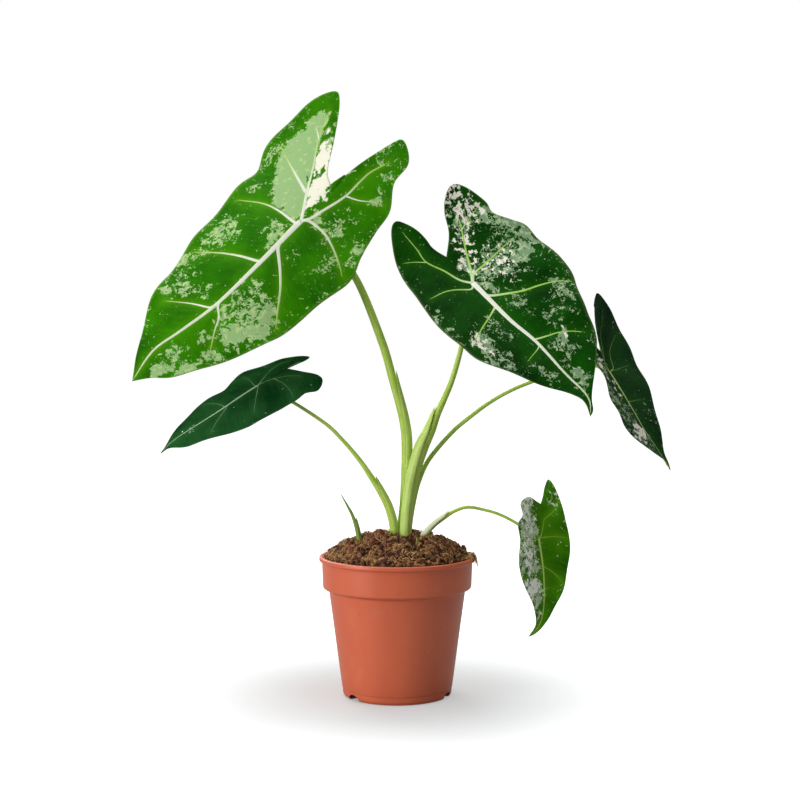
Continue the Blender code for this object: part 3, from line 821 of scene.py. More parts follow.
# %% [markdown]
# ### Veins and splashes
#
# The veins are listed as lines in the same flat coordinates: the midrib itself,
# then one strong vein out into each back lobe, and the side veins that curve
# towards the margin. The splashes are where the leaf has lost its green. Each is a
# soft oval with a strength: around a half it breaks up into speckles, and towards
# one it is solid. The finish later cuts these soft fields into ragged edges, which
# looks like the real thing from any side and needs no picture.

# %% The veins, in millimetres
VEINS = {
    "blade_1": [
        [(0, 0), (-6, -4), (-23, -17), (-43, -30), (-62, -43), (-84, -52)],
        [(0, 0), (-7, 4), (-18, 6), (-38, 11), (-51, 12), (-63, 14), (-77, 21)],
        [(0, 0), (4, -2), (3, -22), (5, -39), (14, -60)],
        [(44, 3), (47, 2), (52, -14), (59, -30), (70, -49)],
        [(96, 4), (99, 2), (105, -13), (115, -32)],
        [(0, 0), (-4, 4), (-5, 14), (-4, 23), (1, 36), (7, 47), (12, 54)],
        [(26, 3), (30, 6), (41, 19), (52, 30), (65, 40), (78, 50)],
        [(90, 5), (94, 7), (100, 14), (108, 18), (118, 24), (124, 28)],
        [(-22, -17), (-30, -37), (-37, -54), (-44, -69)],
        [(-63, -43), (-74, -59)],
        [(-38, 11), (-42, 21), (-48, 30), (-52, 38)],
    ],
    "blade_2": [
        [(0, 0), (-8, -7), (-20, -12), (-33, -20), (-45, -20), (-61, -22)],
        [(0, 0), (-12, 7), (-25, 13), (-41, 21), (-52, 25)],
        [(0, 0), (4, -5), (-1, -15), (-4, -25), (-4, -40)],
        [(26, 1), (28, -2), (33, -12), (38, -23), (46, -39)],
        [(72, 5), (74, 2), (76, -4), (79, -13)],
        [(0, 0), (-6, 6), (-7, 15), (-8, 24), (-11, 46)],
        [(13, 0), (17, 3), (24, 14), (30, 25), (34, 37), (39, 49), (46, 59)],
        [(64, 4), (66, 5), (70, 15), (73, 23), (78, 31), (85, 39)],
        [(-32, -19), (-37, -29), (-40, -38)],
        [(-40, 20), (-44, 31), (-48, 44)],
    ],
    "blade_3": [
        [(0, 0), (-8, 2), (-18, 7), (-28, 9), (-41, 15)],
        [(0, 0), (-12, -6), (-25, -13), (-31, -15)],
        [(0, 0), (-2, 8), (-10, 12), (-17, 18), (-26, 35)],
        [(0, 0), (0, 3), (1, 15), (2, 29)],
        [(27, -5), (28, -1), (29, 5), (31, 13)],
        [(20, -4), (22, -10), (26, -18), (32, -25)],
        [(50, -7), (52, -11), (56, -17)],
    ],
    "blade_4": [
        [(0, 0), (-6, -4), (-15, -11), (-25, -15), (-34, -13)],
        [(0, 0), (-7, 0), (-14, 2), (-22, 5), (-31, 11)],
        [(0, 0), (2, -2), (1, -10), (1, -19), (2, -25)],
        [(30, 3), (31, 2), (32, -4), (35, -12), (40, -18)],
        [(0, 0), (1, 2), (7, 9), (13, 16), (18, 22)],
        [(29, 3), (31, 5), (38, 8), (46, 12), (52, 15)],
        [(-13, 1), (-14, 4), (-16, 10), (-16, 19), (-14, 25)],
    ],
    "blade_5": [
        [(0, 0), (-4, 2), (-14, 4), (-16, 5), (-21, 11), (-29, 17)],
        [(0, 0), (-8, -5), (-16, -9), (-22, -12)],
        [(0, 0), (-1, 2), (-2, 7), (-3, 13), (-3, 24)],
        [(19, 5), (21, 6), (23, 11), (27, 17), (33, 23)],
        [(0, 0), (2, -6), (3, -12), (4, -18)],
        [(22, 5), (24, -1), (27, -8), (31, -14)],
    ],
}
print("veins on each blade:", {name: len(lines) + 1 for name, lines in VEINS.items()})

# %% The splashes: along, across, half length, half width and strength
SAGE = {
    "blade_1": [
        (45, -42, 14, 11, 0.62), (16, -10, 10, 8, 0.5), (26, -3, 6, 4, 0.95),
        (78, -49, 11, 7, 0.6), (95, -36, 8, 6, 0.6), (106, -36, 7, 5, 0.65),
        (98, -23, 8, 6, 0.6), (91, -10, 5, 4, 0.6), (88, 28, 22, 16, 0.62),
        (102, 31, 8, 6, 1.15), (90, 42, 9, 6, 1.15), (74, 39, 7, 7, 1.1),
        (119, 17, 6, 4, 0.55), (125, 29, 5, 4, 0.9), (148, 10, 11, 8, 0.66),
        (158, 11, 8, 4, 1.0), (144, 25, 9, 4, 1.1), (65, 18, 5, 12, 0.5),
        (24, 17, 4, 4, 0.55), (13, 38, 8, 6, 0.5), (-16, 24, 18, 7, 0.47),
        (-10, 50, 14, 4, 0.62), (-52, 32, 5, 3, 0.85), (-64, 30, 9, 4, 0.6),
        (-82, 16, 11, 9, 0.5), (-31, -72, 16, 5, 0.5), (-2, -57, 5, 4, 0.62),
        (-9, 7, 5, 6, 0.95), (70, -40, 9, 5, 0.45), (120, 37, 22, 4, 0.42),
    ],
    "blade_2": [
        (-40, 42, 8, 5, 0.8), (-29, 52, 12, 5, 0.8), (-10, 60, 15, 4, 1.05),
        (-4, 52, 8, 6, 0.9), (3, 45, 5, 9, 0.95), (-18, 43, 12, 10, 0.45),
        (-3, 20, 12, 12, 0.56), (2, 32, 14, 11, 0.58), (11, 9, 7, 4, 0.85),
        (35, 16, 10, 6, 0.5), (49, 50, 11, 7, 0.55), (81, 23, 9, 4, 0.75),
        (86, 15, 9, 4, 0.5), (109, 13, 10, 4, 0.95), (50, -31, 9, 7, 0.85),
        (63, -35, 7, 4, 0.85), (71, -28, 11, 6, 0.47), (95, -7, 9, 5, 0.5),
        (-10, 6, 10, 5, 0.8), (60, 30, 10, 8, 0.42), (45, -12, 12, 8, 0.36),
        (-46, 22, 14, 10, 0.45), (20, -46, 14, 3, 0.5),
    ],
    "blade_3": [
        (30, -22, 30, 9, 0.52), (52, -17, 9, 6, 0.8), (-12, -8, 14, 6, 0.5),
        (64, -12, 12, 6, 0.5), (44, 10, 10, 5, 0.3),
    ],
    "blade_4": [(60, 0, 4, 2, 0.7)],
    "blade_5": [
        (-22, -13, 12, 8, 0.72), (-6, -11, 10, 8, 0.74), (12, -14, 14, 10, 0.68),
        (30, -6, 14, 9, 0.66), (46, 1, 12, 6, 0.6), (6, -4, 9, 4, 0.6),
        (-30, 14, 8, 5, 0.35),
    ],
}
CREAM = {
    "blade_1": [(-75, -34, 11, 7, 0.25), (-24, -1, 8, 1.2, 0.6), (-33, -3, 5, 1.1, 0.6)],
    "blade_2": [
        (-60, 25, 10, 5, 0.62), (-50, 35, 11, 9, 0.56), (-66, 33, 6, 4, 0.6),
        (-36, 20, 9, 7, 0.4), (49, -33, 8, 4, 0.72), (-12, 5, 8, 4, 0.6),
        (-26, 12, 12, 5, 0.42), (80, 25, 8, 3, 0.45), (-2, 26, 14, 14, 0.33),
    ],
    "blade_3": [(52, -17, 7, 5, 0.95), (-15, -5, 9, 4, 0.7), (8, -8, 14, 4, 0.4)],
    "blade_4": [],
    "blade_5": [(-16, -13, 14, 8, 0.58), (14, -13, 12, 8, 0.54), (34, -5, 14, 7, 0.54)],
}
SAGE_SECTOR = [
    (1, -32), (3, -4), (-6, -2), (-23, -15), (-43, -28), (-62, -41), (-84, -50),
    (-82, -60), (-72, -66), (-65, -61), (-58, -66), (-48, -67), (-40, -68), (-17, -50),
]
CREAM_STRIP = [
    (-10, -5), (-23, -15), (-43, -28), (-62, -41), (-78, -46), (-86, -43),
    (-69, -30), (-45, -14), (-37, -5), (-20, -3),
]
CREAM_HOLES = [(-69, -38, 3, 3), (-79, -43, 3, 3), (-41, -20, 6, 1.5), (-34, -23, 6, 1.2)]
print("splashes:", sum(map(len, SAGE.values())), "sage and", sum(map(len, CREAM.values())), "cream")


# %% Fields over the flat leaf
BARE = -0.1
BARE_OF_CREAM = -0.28
SAGE_LOSS = {"blade_4": 0.2}


def ragged(flat):
    """Pushes each flat point a few millimetres by three added waves each way."""
    s, t = flat[..., 0], flat[..., 1]
    along = 2.2 * np.sin(0.33 * t + 0.12 * s + 1.3) + 1.5 * np.sin(0.71 * s - 0.37 * t)
    along = along + 0.9 * np.sin(1.3 * t + 0.9 * s)
    across = 2.2 * np.sin(0.29 * s - 0.17 * t + 0.4) + 1.5 * np.sin(0.63 * t + 0.41 * s + 2)
    across = across + 0.9 * np.sin(1.2 * s - 0.8 * t)
    return flat + np.stack([along, across], -1)


def ovals(flat, rows, bare=BARE):
    """Strongest of many soft ovals at each flat point: full inside, fading to bare farther out.
    The points are pushed about first, so that no oval keeps a smooth edge."""
    if not rows:
        return np.full(flat.shape[:-1], bare)
    table = np.array(rows, float)
    offset = (ragged(flat)[..., None, :] - table[:, :2]) / table[:, 2:4]
    inside = np.clip((1.8 - np.linalg.norm(offset, axis=-1)) / 1.2, 0, 1)
    return ((0.93 * table[:, 4] - bare) * inside * inside * (3 - 2 * inside)).max(-1) + bare


def edge_distance(flat, starts, ends):
    """Distance of each flat point from the nearest of many straight edges, in millimetres."""
    edge, offset = ends - starts, flat[..., None, :] - starts
    share = np.clip((offset * edge).sum(-1) / (edge**2).sum(-1), 0, 1)
    return np.linalg.norm(offset - share[..., None] * edge, axis=-1).min(-1)


def inside_outline(flat, outline):
    """Distance of each flat point from a closed outline, in millimetres, and below zero outside it.
    A point is inside if a line drawn from it crosses the outline an odd number of times."""
    corners = np.array(outline, float)
    after = np.roll(corners, -1, axis=0)
    edge = after - corners
    away = edge_distance(flat, corners, after)
    crosses = (corners[:, 1] > flat[..., 1, None]) != (after[:, 1] > flat[..., 1, None])
    rise = np.where(edge[:, 1] == 0, 1e-9, edge[:, 1])
    reach = corners[:, 0] + (flat[..., 1, None] - corners[:, 1]) / rise * edge[:, 0]
    inside = (crosses & (flat[..., 0, None] < reach)).sum(-1) % 2 == 1
    return np.where(inside, away, -away)


test = np.array([[0.0, 0.0], [30.0, 0.0]])
print("depths inside the sage sector:", inside_outline(test, SAGE_SECTOR).round(1))


# %% The flat drawing of one half
CURVE_STEPS = 24


def edge_points(edge, sinus, counts):
    """One half's margin from tip to sinus, its three runs sampled to the grid's counts."""
    outer, lobe, inner = edge
    curve = smooth_curve(outer + lobe + inner + [sinus], CURVE_STEPS)
    abreast = (len(outer) - 1) * CURVE_STEPS
    lobe_tip = abreast + len(lobe) * CURVE_STEPS
    runs = [
        evenly(curve[: abreast + 1], counts[0]),
        evenly(curve[abreast : lobe_tip + 1], counts[1])[1:],
        evenly(curve[lobe_tip:], counts[1])[1:],
    ]
    return np.vstack(runs)


def spine_points(midrib, lobe_vein, counts):
    """The line that cross rows start on: down the midrib, out along the lobe's vein and back."""
    along = evenly(smooth_curve(midrib, CURVE_STEPS), counts[0])
    out = np.linspace(0, 1, counts[1] + 1)[1:, None] * np.array(lobe_vein, float)
    back = np.vstack([out[::-1][1:], [[0.0, 0.0]]])
    return np.vstack([along, out, back])


def half_grid(blade, side, counts):
    """Flat points of one half and their share of the way from the spine to the margin."""
    margin = edge_points(blade["edges"][side], blade["sinus"], counts)
    spine = spine_points(blade["midrib"], blade["lobe_veins"][side], counts)
    share = np.linspace(0, 1, counts[2] + 1)[None, :]
    flat = spine[:, None] + (margin - spine)[:, None] * share[..., None]
    return flat, np.broadcast_to(share, flat.shape[:2])


# %% Bending the flat leaf
def blade_frame(blade):
    """The joint, the length, and the three directions: to the tip, across, and out of the face."""
    joint = np.array(blade["joint"], float)
    reach = np.array(blade["tip"], float) - joint
    length, along = np.linalg.norm(reach), unit(reach)
    face = np.array(blade["face"], float)
    out = unit(face - along * (face @ along))
    return joint, length, along, np.cross(out, along), out


def bend_blade(blade, flat, share, lift=0.0):
    """Bent places of flat points. Out of the flat go the slope of the fold, an arch that is a
    parabola along the midrib, a squared rise of the lobes less a squared curl of the sides, and a
    sine wave that grows with the cube of the share to the margin."""
    joint, length, along, across, out = blade_frame(blade)
    course = flat[..., 0] / length
    midrib = np.array(blade["midrib"][::-1], float)
    offset = np.where(course > 0, np.interp(flat[..., 0], midrib[:, 0], midrib[:, 1]), 0.0)
    side = flat[..., 1] - offset
    fold = np.radians(np.where(side < 0, blade["folds"][0], blade["folds"][1]))
    reach = np.sqrt(side**2 + CREASE**2) - CREASE
    sideways = offset + np.sign(side) * (np.abs(side) - reach + reach * np.cos(fold))
    level = 4 * blade["arch"] * course
    arch = np.where(course > 0, level * (1 - course), level + blade["lobe_rise"] * course**2)
    curl = blade["curl"] * (side / blade["half_width"]) ** 2
    size, pitch, start = blade["wave"]
    wave = size * share**3 * np.sin(2 * pi * (flat[..., 0] / pitch + start + 0.37 * (side > 0)))
    wave = wave * np.clip((1 - course) * 12, 0, 1)
    height = reach * np.sin(fold) + arch - curl + wave + lift
    return (
        joint
        + flat[..., 0, None] * along
        + sideways[..., None] * across
        + height[..., None] * out
    )


for name, blade in BLADES.items():
    print(name, "is", round(blade_frame(blade)[1]), "mm from joint to tip")

# %% [markdown]
# ### From the bent drawing to a leaf
#
# Between two veins a real blade puffs up a little, so every vein lies in a shallow
# valley. The two halves are welded at the midrib, thickened by Solidify, and then
# get their veins: each vein is one slim closed tube that lies through the blade,
# almost flat on top and proud underneath, as it is on the plant.

# %% The grid of one leaf
VALLEY = 7.0
BLADE_THICK, EDGE_THICK = 0.7, 0.35


def all_veins(name):
    """The midrib and the side veins of a blade, as smooth even lines of flat points."""
    midrib = BLADES[name]["midrib"][::-1]
    return [evenly(smooth_curve(line, 10), 36) for line in [midrib] + VEINS[name]]


def vein_distance(name, flat):
    """Distance of each flat point from the blade's nearest vein, in millimetres."""
    lines = [line[::4] for line in all_veins(name)]
    starts, ends = (np.vstack([line[cut] for line in lines]) for cut in (slice(-1), slice(1, None)))
    return edge_distance(flat, starts, ends)


def puff(name, flat):
    """Height of the blade round its veins: minus its puff times exp(-(distance / valley)^2), so that
    every vein lies in a shallow valley."""
    return -BLADES[name]["puff"] * np.exp(-((vein_distance(name, flat) / VALLEY) ** 2))


def leaf_fields(name, flat, share, vein, pale):
    """All that the finish reads: place, streaks, splashes, nearness to a vein and to the margin."""
    s, t = flat[..., 0], flat[..., 1]
    sage, cream = ovals(flat, SAGE[name]), ovals(flat, CREAM[name], BARE_OF_CREAM)
    if name == "blade_1":
        sector = np.clip(0.5 + inside_outline(flat, SAGE_SECTOR) / 5, -0.35, 1.4)
        strip = np.clip(0.5 + inside_outline(flat, CREAM_STRIP) / 4, -0.35, 1.3)
        outer = np.clip((-s - 52) / 12, 0, 1)
        holes = 1.5 * np.clip(ovals(flat, [(*row, 1.2) for row in CREAM_HOLES]), 0, 1)
        sage = np.maximum(sage, sector)
        sage = np.maximum(sage, strip - 0.4 * outer) - holes
        cream = np.maximum(cream, strip - 0.85 * outer) - holes
    swell = 0.6 + 0.4 * np.sin(0.11 * s + 0.07 * t + 1)
    flecked = BARE + 0.5 * BLADES[name]["flecks"] * np.clip(share, 0, 1) ** 5 * swell
    sage = np.maximum(sage, flecked) - SAGE_LOSS.get(name, 0.0)
    seeds = np.full_like(s, 37.0 * (1 + list(BLADES).index(name)))
    return {
        "place": np.stack([s, t, seeds], -1).reshape(-1, 3),
        "flow": np.stack([s - 0.45 * np.abs(t), 0.12 * np.abs(t), seeds], -1).reshape(-1, 3),
        "sage": sage.ravel(),
        "cream": cream.ravel(),
        "near": np.exp(-vein_distance(name, flat) / 3.0).ravel(),
        "rim": np.clip((share - 0.965) / 0.035, 0, 1).ravel(),
        "vein": np.full(s.size, float(vein)),
        "pale": np.broadcast_to(pale, s.shape).ravel(),
    }


# %% The veins as tubes
VEIN_SIDES, VEIN_PROUD = 12, 0.3


def vein_rings(name, line, width, narrowing, pale, fading):
    """Rings of one vein: a lens across the line, low on top and proud underneath. It narrows along
    its course, and its last eighth runs out to a point."""
    step = unit(np.gradient(line, axis=0))
    left = np.stack([-step[:, 1], step[:, 0]], -1)
    course = np.linspace(0, 1, len(line))
    width = width * (1 - (1 - narrowing) * course**0.8)
    width = width * np.sqrt(np.clip((1 - course) / 0.12, 0.02, 1))
    turn = turns(VEIN_SIDES)
    flat = line[:, None] + left[:, None] * (0.5 * width[:, None] * np.cos(turn))[..., None]
    up, down = np.clip(np.sin(turn), 0, 1), np.clip(-np.sin(turn), 0, 1)
    top = 0.07 * width[:, None] + 0.05
    body = BLADE_THICK + VEIN_PROUD * width[:, None]
    lift = up * top - 0.04 - down * body + puff(name, flat)
    margin_share = share_at(name, flat)
    fields = leaf_fields(name, flat, margin_share, 1.0, (pale - fading * course)[:, None])
    return bend_blade(BLADES[name], flat, margin_share, lift), fields


def share_at(name, flat):
    """Share of the way to the margin at any flat point, from the four nearest points of the grid."""
    grid, share = GRIDS[name]
    points = flat.reshape(-1, 2)
    away = ((points[:, None] - grid[None]) ** 2).sum(-1) + 1e-6
    near = np.argpartition(away, 4, axis=1)[:, :4]
    weight = 1 / np.take_along_axis(away, near, 1)
    found = (share[near] * weight).sum(1) / weight.sum(1)
    return found.reshape(flat.shape[:-1])


COARSE_COUNTS = (24, 12, 10)
GRIDS = {}
for name, blade in BLADES.items():
    coarse = [half_grid(blade, side, COARSE_COUNTS) for side in (0, 1)]
    GRIDS[name] = (
        np.vstack([flat.reshape(-1, 2) for flat, share in coarse]),
        np.concatenate([share.ravel() for flat, share in coarse]),
    )
print("grid points kept for the veins:", {name: len(grid[0]) for name, grid in GRIDS.items()})

# %% [markdown]
# ### The finish of a leaf
#
# The green itself is never one tone: it is lighter beside the veins and has fine
# streaks where the small veins run. Over it come the sage splashes, where only the
# lower layer of the leaf is green, and the cream ones, where none is. Both are cut
# from their soft fields by noise, so that they break into specks at their edges.
# The back of the leaf has the same pattern, paler and matt.


# %% Leaf finish
LOOKS = {
    # blade_1's greens are lighter than the other leaves': partly its own colour, partly painted light
    # through the leaf from behind.
    "blade_1": dict(
        dark=tone(30, 104, 0), light=tone(62, 148, 0), halo=tone(112, 182, 20),
        sage=tone(166, 202, 138), fleck=tone(194, 220, 152), cream=tone(250, 246, 230),
        vein=tone(246, 248, 228), side=tone(182, 218, 112), rim=tone(130, 180, 64),
        rough=0.42, through=0.3, sheen=0.0, gloss=0.03,
    ),
    "blade_2": dict(
        dark=tone(0, 38, 0), light=tone(18, 84, 4), halo=tone(44, 110, 18),
        sage=tone(126, 156, 118), fleck=tone(172, 194, 150), cream=tone(240, 236, 220),
        vein=tone(248, 250, 232), side=tone(168, 214, 98), rim=tone(112, 130, 80),
        rough=0.46, through=0.1, sheen=0.01, gloss=0.03,
    ),
    "blade_3": dict(
        dark=tone(6, 36, 12), light=tone(26, 76, 24), halo=tone(34, 86, 24),
        sage=tone(96, 126, 98), fleck=tone(150, 168, 136), cream=tone(236, 230, 216),
        vein=tone(184, 206, 120), side=tone(118, 162, 62), rim=tone(72, 94, 64),
        rough=0.46, through=0.08, sheen=0.02, gloss=0.07,
    ),
    "blade_4": dict(
        dark=tone(8, 50, 18), light=tone(38, 90, 44), halo=tone(56, 108, 58),
        sage=tone(120, 150, 130), fleck=tone(150, 176, 150), cream=tone(222, 222, 210),
        vein=tone(186, 212, 172), side=tone(126, 168, 120), rim=tone(84, 110, 78),
        rough=0.5, through=0.1, sheen=0.0, gloss=0.0,
    ),
    # blade_5's sage, flecks and cream are made paler: painted light that lifts the shade on its half
    # turned from the lamps.
    "blade_5": dict(
        dark=tone(26, 88, 0), light=tone(74, 142, 2), halo=tone(104, 162, 20),
        sage=tone(192, 210, 170), fleck=tone(222, 232, 200), cream=tone(254, 254, 242),
        vein=tone(190, 218, 116), side=tone(144, 192, 72), rim=tone(106, 150, 56),
        rough=0.44, through=0.06, sheen=0.0, gloss=0.05,
    ),
}
SHEEN_TINT = (0.45, 0.7, 0.5, 1.0)


def leaf_finish(name, look, back):
    """One side of a leaf: greens, streaks, splashes, pale veins and rim, over a soft satin face."""
    f = Finish(name + ("_back" if back else "_face"))
    place = f.attribute("place", "Vector")
    cloud = f.noise(place, 0.035, detail=4)
    streak = f.noise(f.attribute("flow", "Vector"), 0.55, detail=3, roughness=0.55)
    green = f.mix(f.ease(cloud, 0.2, 0.8), look["dark"], look["light"])
    green = f.mix(f.ease(streak, 0.5, 0.75, 0.0, 0.5), green, look["light"])
    green = f.mix(f.math("MULTIPLY", f.attribute("near"), 0.5), green, look["halo"])
    specks = f.noise(place, 0.8, detail=3, roughness=0.6)
    blots = f.noise(place, 0.2, detail=6, roughness=0.64, distortion=0.6)
    fine = f.math("ADD", f.math("MULTIPLY", blots, 0.62), f.math("MULTIPLY", specks, 0.38))
    sage_mask = f.splash(f.attribute("sage"), fine, 4.8)
    blots = f.noise(f.stretch(place, (1, 1, 1), (61, 17, 9)), 0.24, detail=5, roughness=0.56)
    other = f.math("ADD", f.math("MULTIPLY", blots, 0.74), f.math("MULTIPLY", specks, 0.26))
    cream_mask = f.splash(f.attribute("cream"), other, 4.4)
    thin = f.math("SUBTRACT", blots, f.math("MULTIPLY", f.attribute("sage"), 0.12))
    sage = f.mix(f.ease(thin, 0.38, 0.5), look["sage"], look["fleck"])
    color = f.mix(sage_mask, green, sage)
    color = f.mix(cream_mask, color, look["cream"])
    color = f.mix(f.math("MULTIPLY", f.attribute("rim"), 0.7), color, look["rim"])
    rib = f.mix(f.ease(f.attribute("pale"), 0.45, 0.95), look["side"], look["vein"])
    color = f.mix(f.attribute("vein"), color, rib)
    if back:
        color = f.mix(0.38, color, tone(150, 176, 128))
    grain = f.noise(place, 1.6, detail=3)
    rough = look["rough"] + (0.15 if back else 0.0)
    rough = f.ease(grain, 0.3, 0.7, rough - 0.05, rough + 0.08)
    f.surface({"Base Color": color, "Roughness": rough, "Specular IOR Level": look["gloss"]})
    f.surface({"Sheen Weight": look["sheen"], "Sheen Roughness": 0.4, "Sheen Tint": SHEEN_TINT})
    f.bump(f.math("ADD", streak, f.math("MULTIPLY", grain, 0.25)), 0.0007, 0.5)
    f.glow_through(color, look["through"])
    return f.material


# %% Making the five leaves
def make_leaf(name):
    """Welds two bent halves, thickens them, and joins the vein tubes on."""
    blade = BLADES[name]
    halves = []
    for side in (0, 1):
        flat, share = half_grid(blade, side, blade["counts"])
        bent = bend_blade(blade, flat, share, puff(name, flat)).reshape(-1, 3)
        faces = grid_faces(*flat.shape[:2])[:, :: 1 if side else -1].tolist()
        halves.append((bent, faces, leaf_fields(name, flat, share, 0.0, 1.0)))
    points, faces, fields = gathered(halves)
    finishes = [leaf_finish(name, LOOKS[name], back) for back in (False, True)]
    leaf = new_piece("leaf_" + name, points, faces, finishes, blade["slot"], name, **fields)
    mend(leaf.data, weld)
    thin = leaf.vertex_groups.new(name="thick")
    rim = np.empty(len(leaf.data.vertices))
    leaf.data.attributes["rim"].data.foreach_get("value", rim)
    thin.add(np.flatnonzero(rim < 0.5).tolist(), 1.0, "REPLACE")
    solid = leaf.modifiers.new("thickness", "SOLIDIFY")
    solid.thickness = BLADE_THICK * MM
    solid.offset = -1.0
    solid.vertex_group = "thick"
    solid.thickness_vertex_group = EDGE_THICK / BLADE_THICK
    solid.material_offset = 1
    with_modifiers(leaf)
    join_veins(leaf, name)
    keep_in_box(leaf.data)
    return leaf


def keep_in_box(mesh):
    """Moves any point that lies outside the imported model's box onto its nearest face."""
    points = np.empty(3 * len(mesh.vertices))
    mesh.vertices.foreach_get("co", points)
    low, high = (np.array(corner) for corner in cad_box)
    mesh.vertices.foreach_set("co", np.clip(points.reshape(-1, 3), low, high).ravel())
    mesh.update()


def join_veins(leaf, name):
    """Makes every vein of the blade as a tube and joins them all into the leaf's mesh."""
    slot, (midrib_width, side_width) = BLADES[name]["slot"], BLADES[name]["vein_widths"]
    midrib, *others = all_veins(name)
    tubes = [vein_rings(name, evenly(midrib, 70), midrib_width, 0.24, 1.1, 0.4)]
    for line in others:
        width = side_width * np.clip(run_of(line)[-1] / 50, 0.55, 1.15)
        tubes.append(vein_rings(name, line, width, 0.35, 1.1 if name == "blade_1" else 0.75, 0.7))
    points, faces, fields = gathered([(*skin(rings), values) for rings, values in tubes])
    veins = new_piece("veins", points, faces, list(leaf.data.materials), slot, **fields)
    with bpy.context.temp_override(active_object=leaf, selected_editable_objects=[leaf, veins]):
        bpy.ops.object.join()


for name in BLADES:
    leaf = make_leaf(name)
    print(leaf.name, "with its veins has", len(leaf.data.polygons), "faces")

# %% [markdown]
# ## Stalks and shoots
#
# Each stalk is a round tube that follows the solid's own route and meets its blade
# from below, square on. Low down, an alocasia's stalk is wrapped by its sheath, an
# open sleeve that once held the next leaf and now ends in a small pointed tip. The
# sleeve is a thin crescent carried up the stalk, narrowing until it lets go.

# %% The routes, in millimetres: place and radius
PETIOLES = {
    "petiole_1": [
        ((3.2, 4.4, 101), 3.2), ((3.2, 4.4, 127), 3.4), ((5.6, 4.2, 150), 3.5),
        ((7.2, 3, 189), 3.8), ((5, 2, 212), 3.6), ((-3.3, 1, 243), 3.2),
        ((-12, 0, 273), 3.1), ((-32, 0, 321), 2.7), ((-56, 4, 348), 2.5),
    ],
    "petiole_2": [
        ((7, -4, 101), 4.2), ((7, -4, 127), 4.4), ((9, -4, 150), 4.3),
        ((12.5, -4, 170), 4.6), ((18.5, -4, 190), 5.1), ((25.5, -5, 205), 4.1),
        ((30, -5, 216), 3.1), ((35.6, -5, 228), 2.5), ((41.8, -6, 243), 2.2),
        ((48.4, -6, 266), 1.9), ((53, -4, 290), 1.8),
    ],
    "petiole_3": [
        ((9.6, 4.4, 101), 1.8), ((9.6, 4.4, 127), 1.9), ((13, 4.6, 150), 1.9),
        ((17.2, 5, 166), 1.9), ((25, 5, 182), 1.8), ((42, 5, 202), 1.7),
        ((56, 5, 214), 1.6), ((71, 6, 225), 1.5), ((87, 7, 234), 1.4),
        ((104, 9, 241), 1.4), ((134, 12, 251), 1.3), ((154, 12, 253), 1.3),
    ],
    "petiole_4": [
        ((-2.6, -2, 101), 3.0), ((-2.6, -2, 127), 3.1), ((-6, -3, 143), 3.0),
        ((-11.5, -4, 155), 2.7), ((-20, -6, 169), 2.2), ((-28.8, -7, 182), 1.8),
        ((-41.3, -9, 197), 1.5), ((-54.5, -11, 210), 1.4), ((-80, -14, 227), 1.3),
        ((-94, -15, 233), 1.3),
    ],
    "petiole_5": [
        ((19.5, -2, 101), 2.3), ((19.5, -2, 119), 2.4), ((23, -2, 126), 2.4),
        ((29, -1, 132), 2.1), ((36, -1, 137), 1.8), ((44, -1, 142), 1.4),
        ((54, -1, 145), 1.3), ((66, 0, 143), 1.2), ((79, 1, 139), 1.2),
        ((92, 3, 132), 1.2), ((101, 4, 125), 1.2),
    ],
}
SHOOTS = {
    "shoot_1": [
        ((-29, 0, 102), 1.6), ((-29, 0, 116), 1.7), ((-31, -1, 128), 1.6),
        ((-34, -2, 138), 1.3), ((-38, -3, 146), 0.9), ((-43, -4, 155), 0.3),
    ],
    "shoot_2": [((15, -22, 104), 1.0), ((15, -22, 118), 1.0), ((15, -22.5, 124.5), 0.4)],
}
print("stalks:", len(PETIOLES), "and shoots:", len(SHOOTS))


# %% Stalk finish
def stem_finish(name, pale, deep, mark):
    """Fleshy green skin: long streaks that follow the stalk, small brown flecks and a wan sheath."""
    f = Finish(name)
    round_place = f.attribute("round", "Vector")
    streak = f.noise(f.stretch(round_place, (2.6, 2.6, 0.07)), 1.0, detail=4)
    cloud = f.noise(round_place, 0.12, detail=3)
    color = f.mix(f.ease(streak, 0.34, 0.66), deep, pale)
    color = f.mix(f.ease(cloud, 0.4, 0.75, 0.0, 0.45), color, deep)
    flecks = f.ease(f.noise(f.stretch(round_place, (1.6, 1.6, 0.8)), 1.0, detail=2), 0.66, 0.72)
    color = f.mix(f.math("MULTIPLY", flecks, f.attribute("marked")), color, mark)
    color = f.mix(f.attribute("wan"), color, tone(230, 232, 206))
    rough = f.ease(streak, 0.2, 0.8, 0.36, 0.5)
    f.surface({"Base Color": color, "Roughness": rough, "Specular IOR Level": 0.4})
    f.surface({"Subsurface Weight": 0.1, "Subsurface Radius": (0.002, 0.003, 0.0008)})
    f.bump(streak, 0.0001, 0.3)
    return f.material


stalk_finish = stem_finish("stalk_skin", tone(198, 222, 104), tone(156, 190, 58), tone(120, 118, 72))
shoot_finish = stem_finish("shoot_skin", tone(150, 178, 84), tone(104, 136, 52), tone(96, 92, 52))

# %% Stalks
STALK_SIDES, SHEATH_ROWS, SHEATH_FAN = 28, 46, 13


def stalk_path(name, route):
    """The route's smooth curve of place and radius, up to the underside of its blade."""
    stations = [(*place, radius) for place, radius in route]
    blade = BLADES.get("blade_" + name.split("_")[1]) if name in PETIOLES else None
    if blade:
        joint, length, along, _, out = blade_frame(blade)
        square = unit(out - along * 4 * blade["arch"] / length)
        end = route[-1][1]
        for reach in (blade["knee"], 3.7, 1.3):
            stations.append((*(joint - square * reach), end))
    return evenly(smooth_curve(stations, 12), 12 * len(stations))


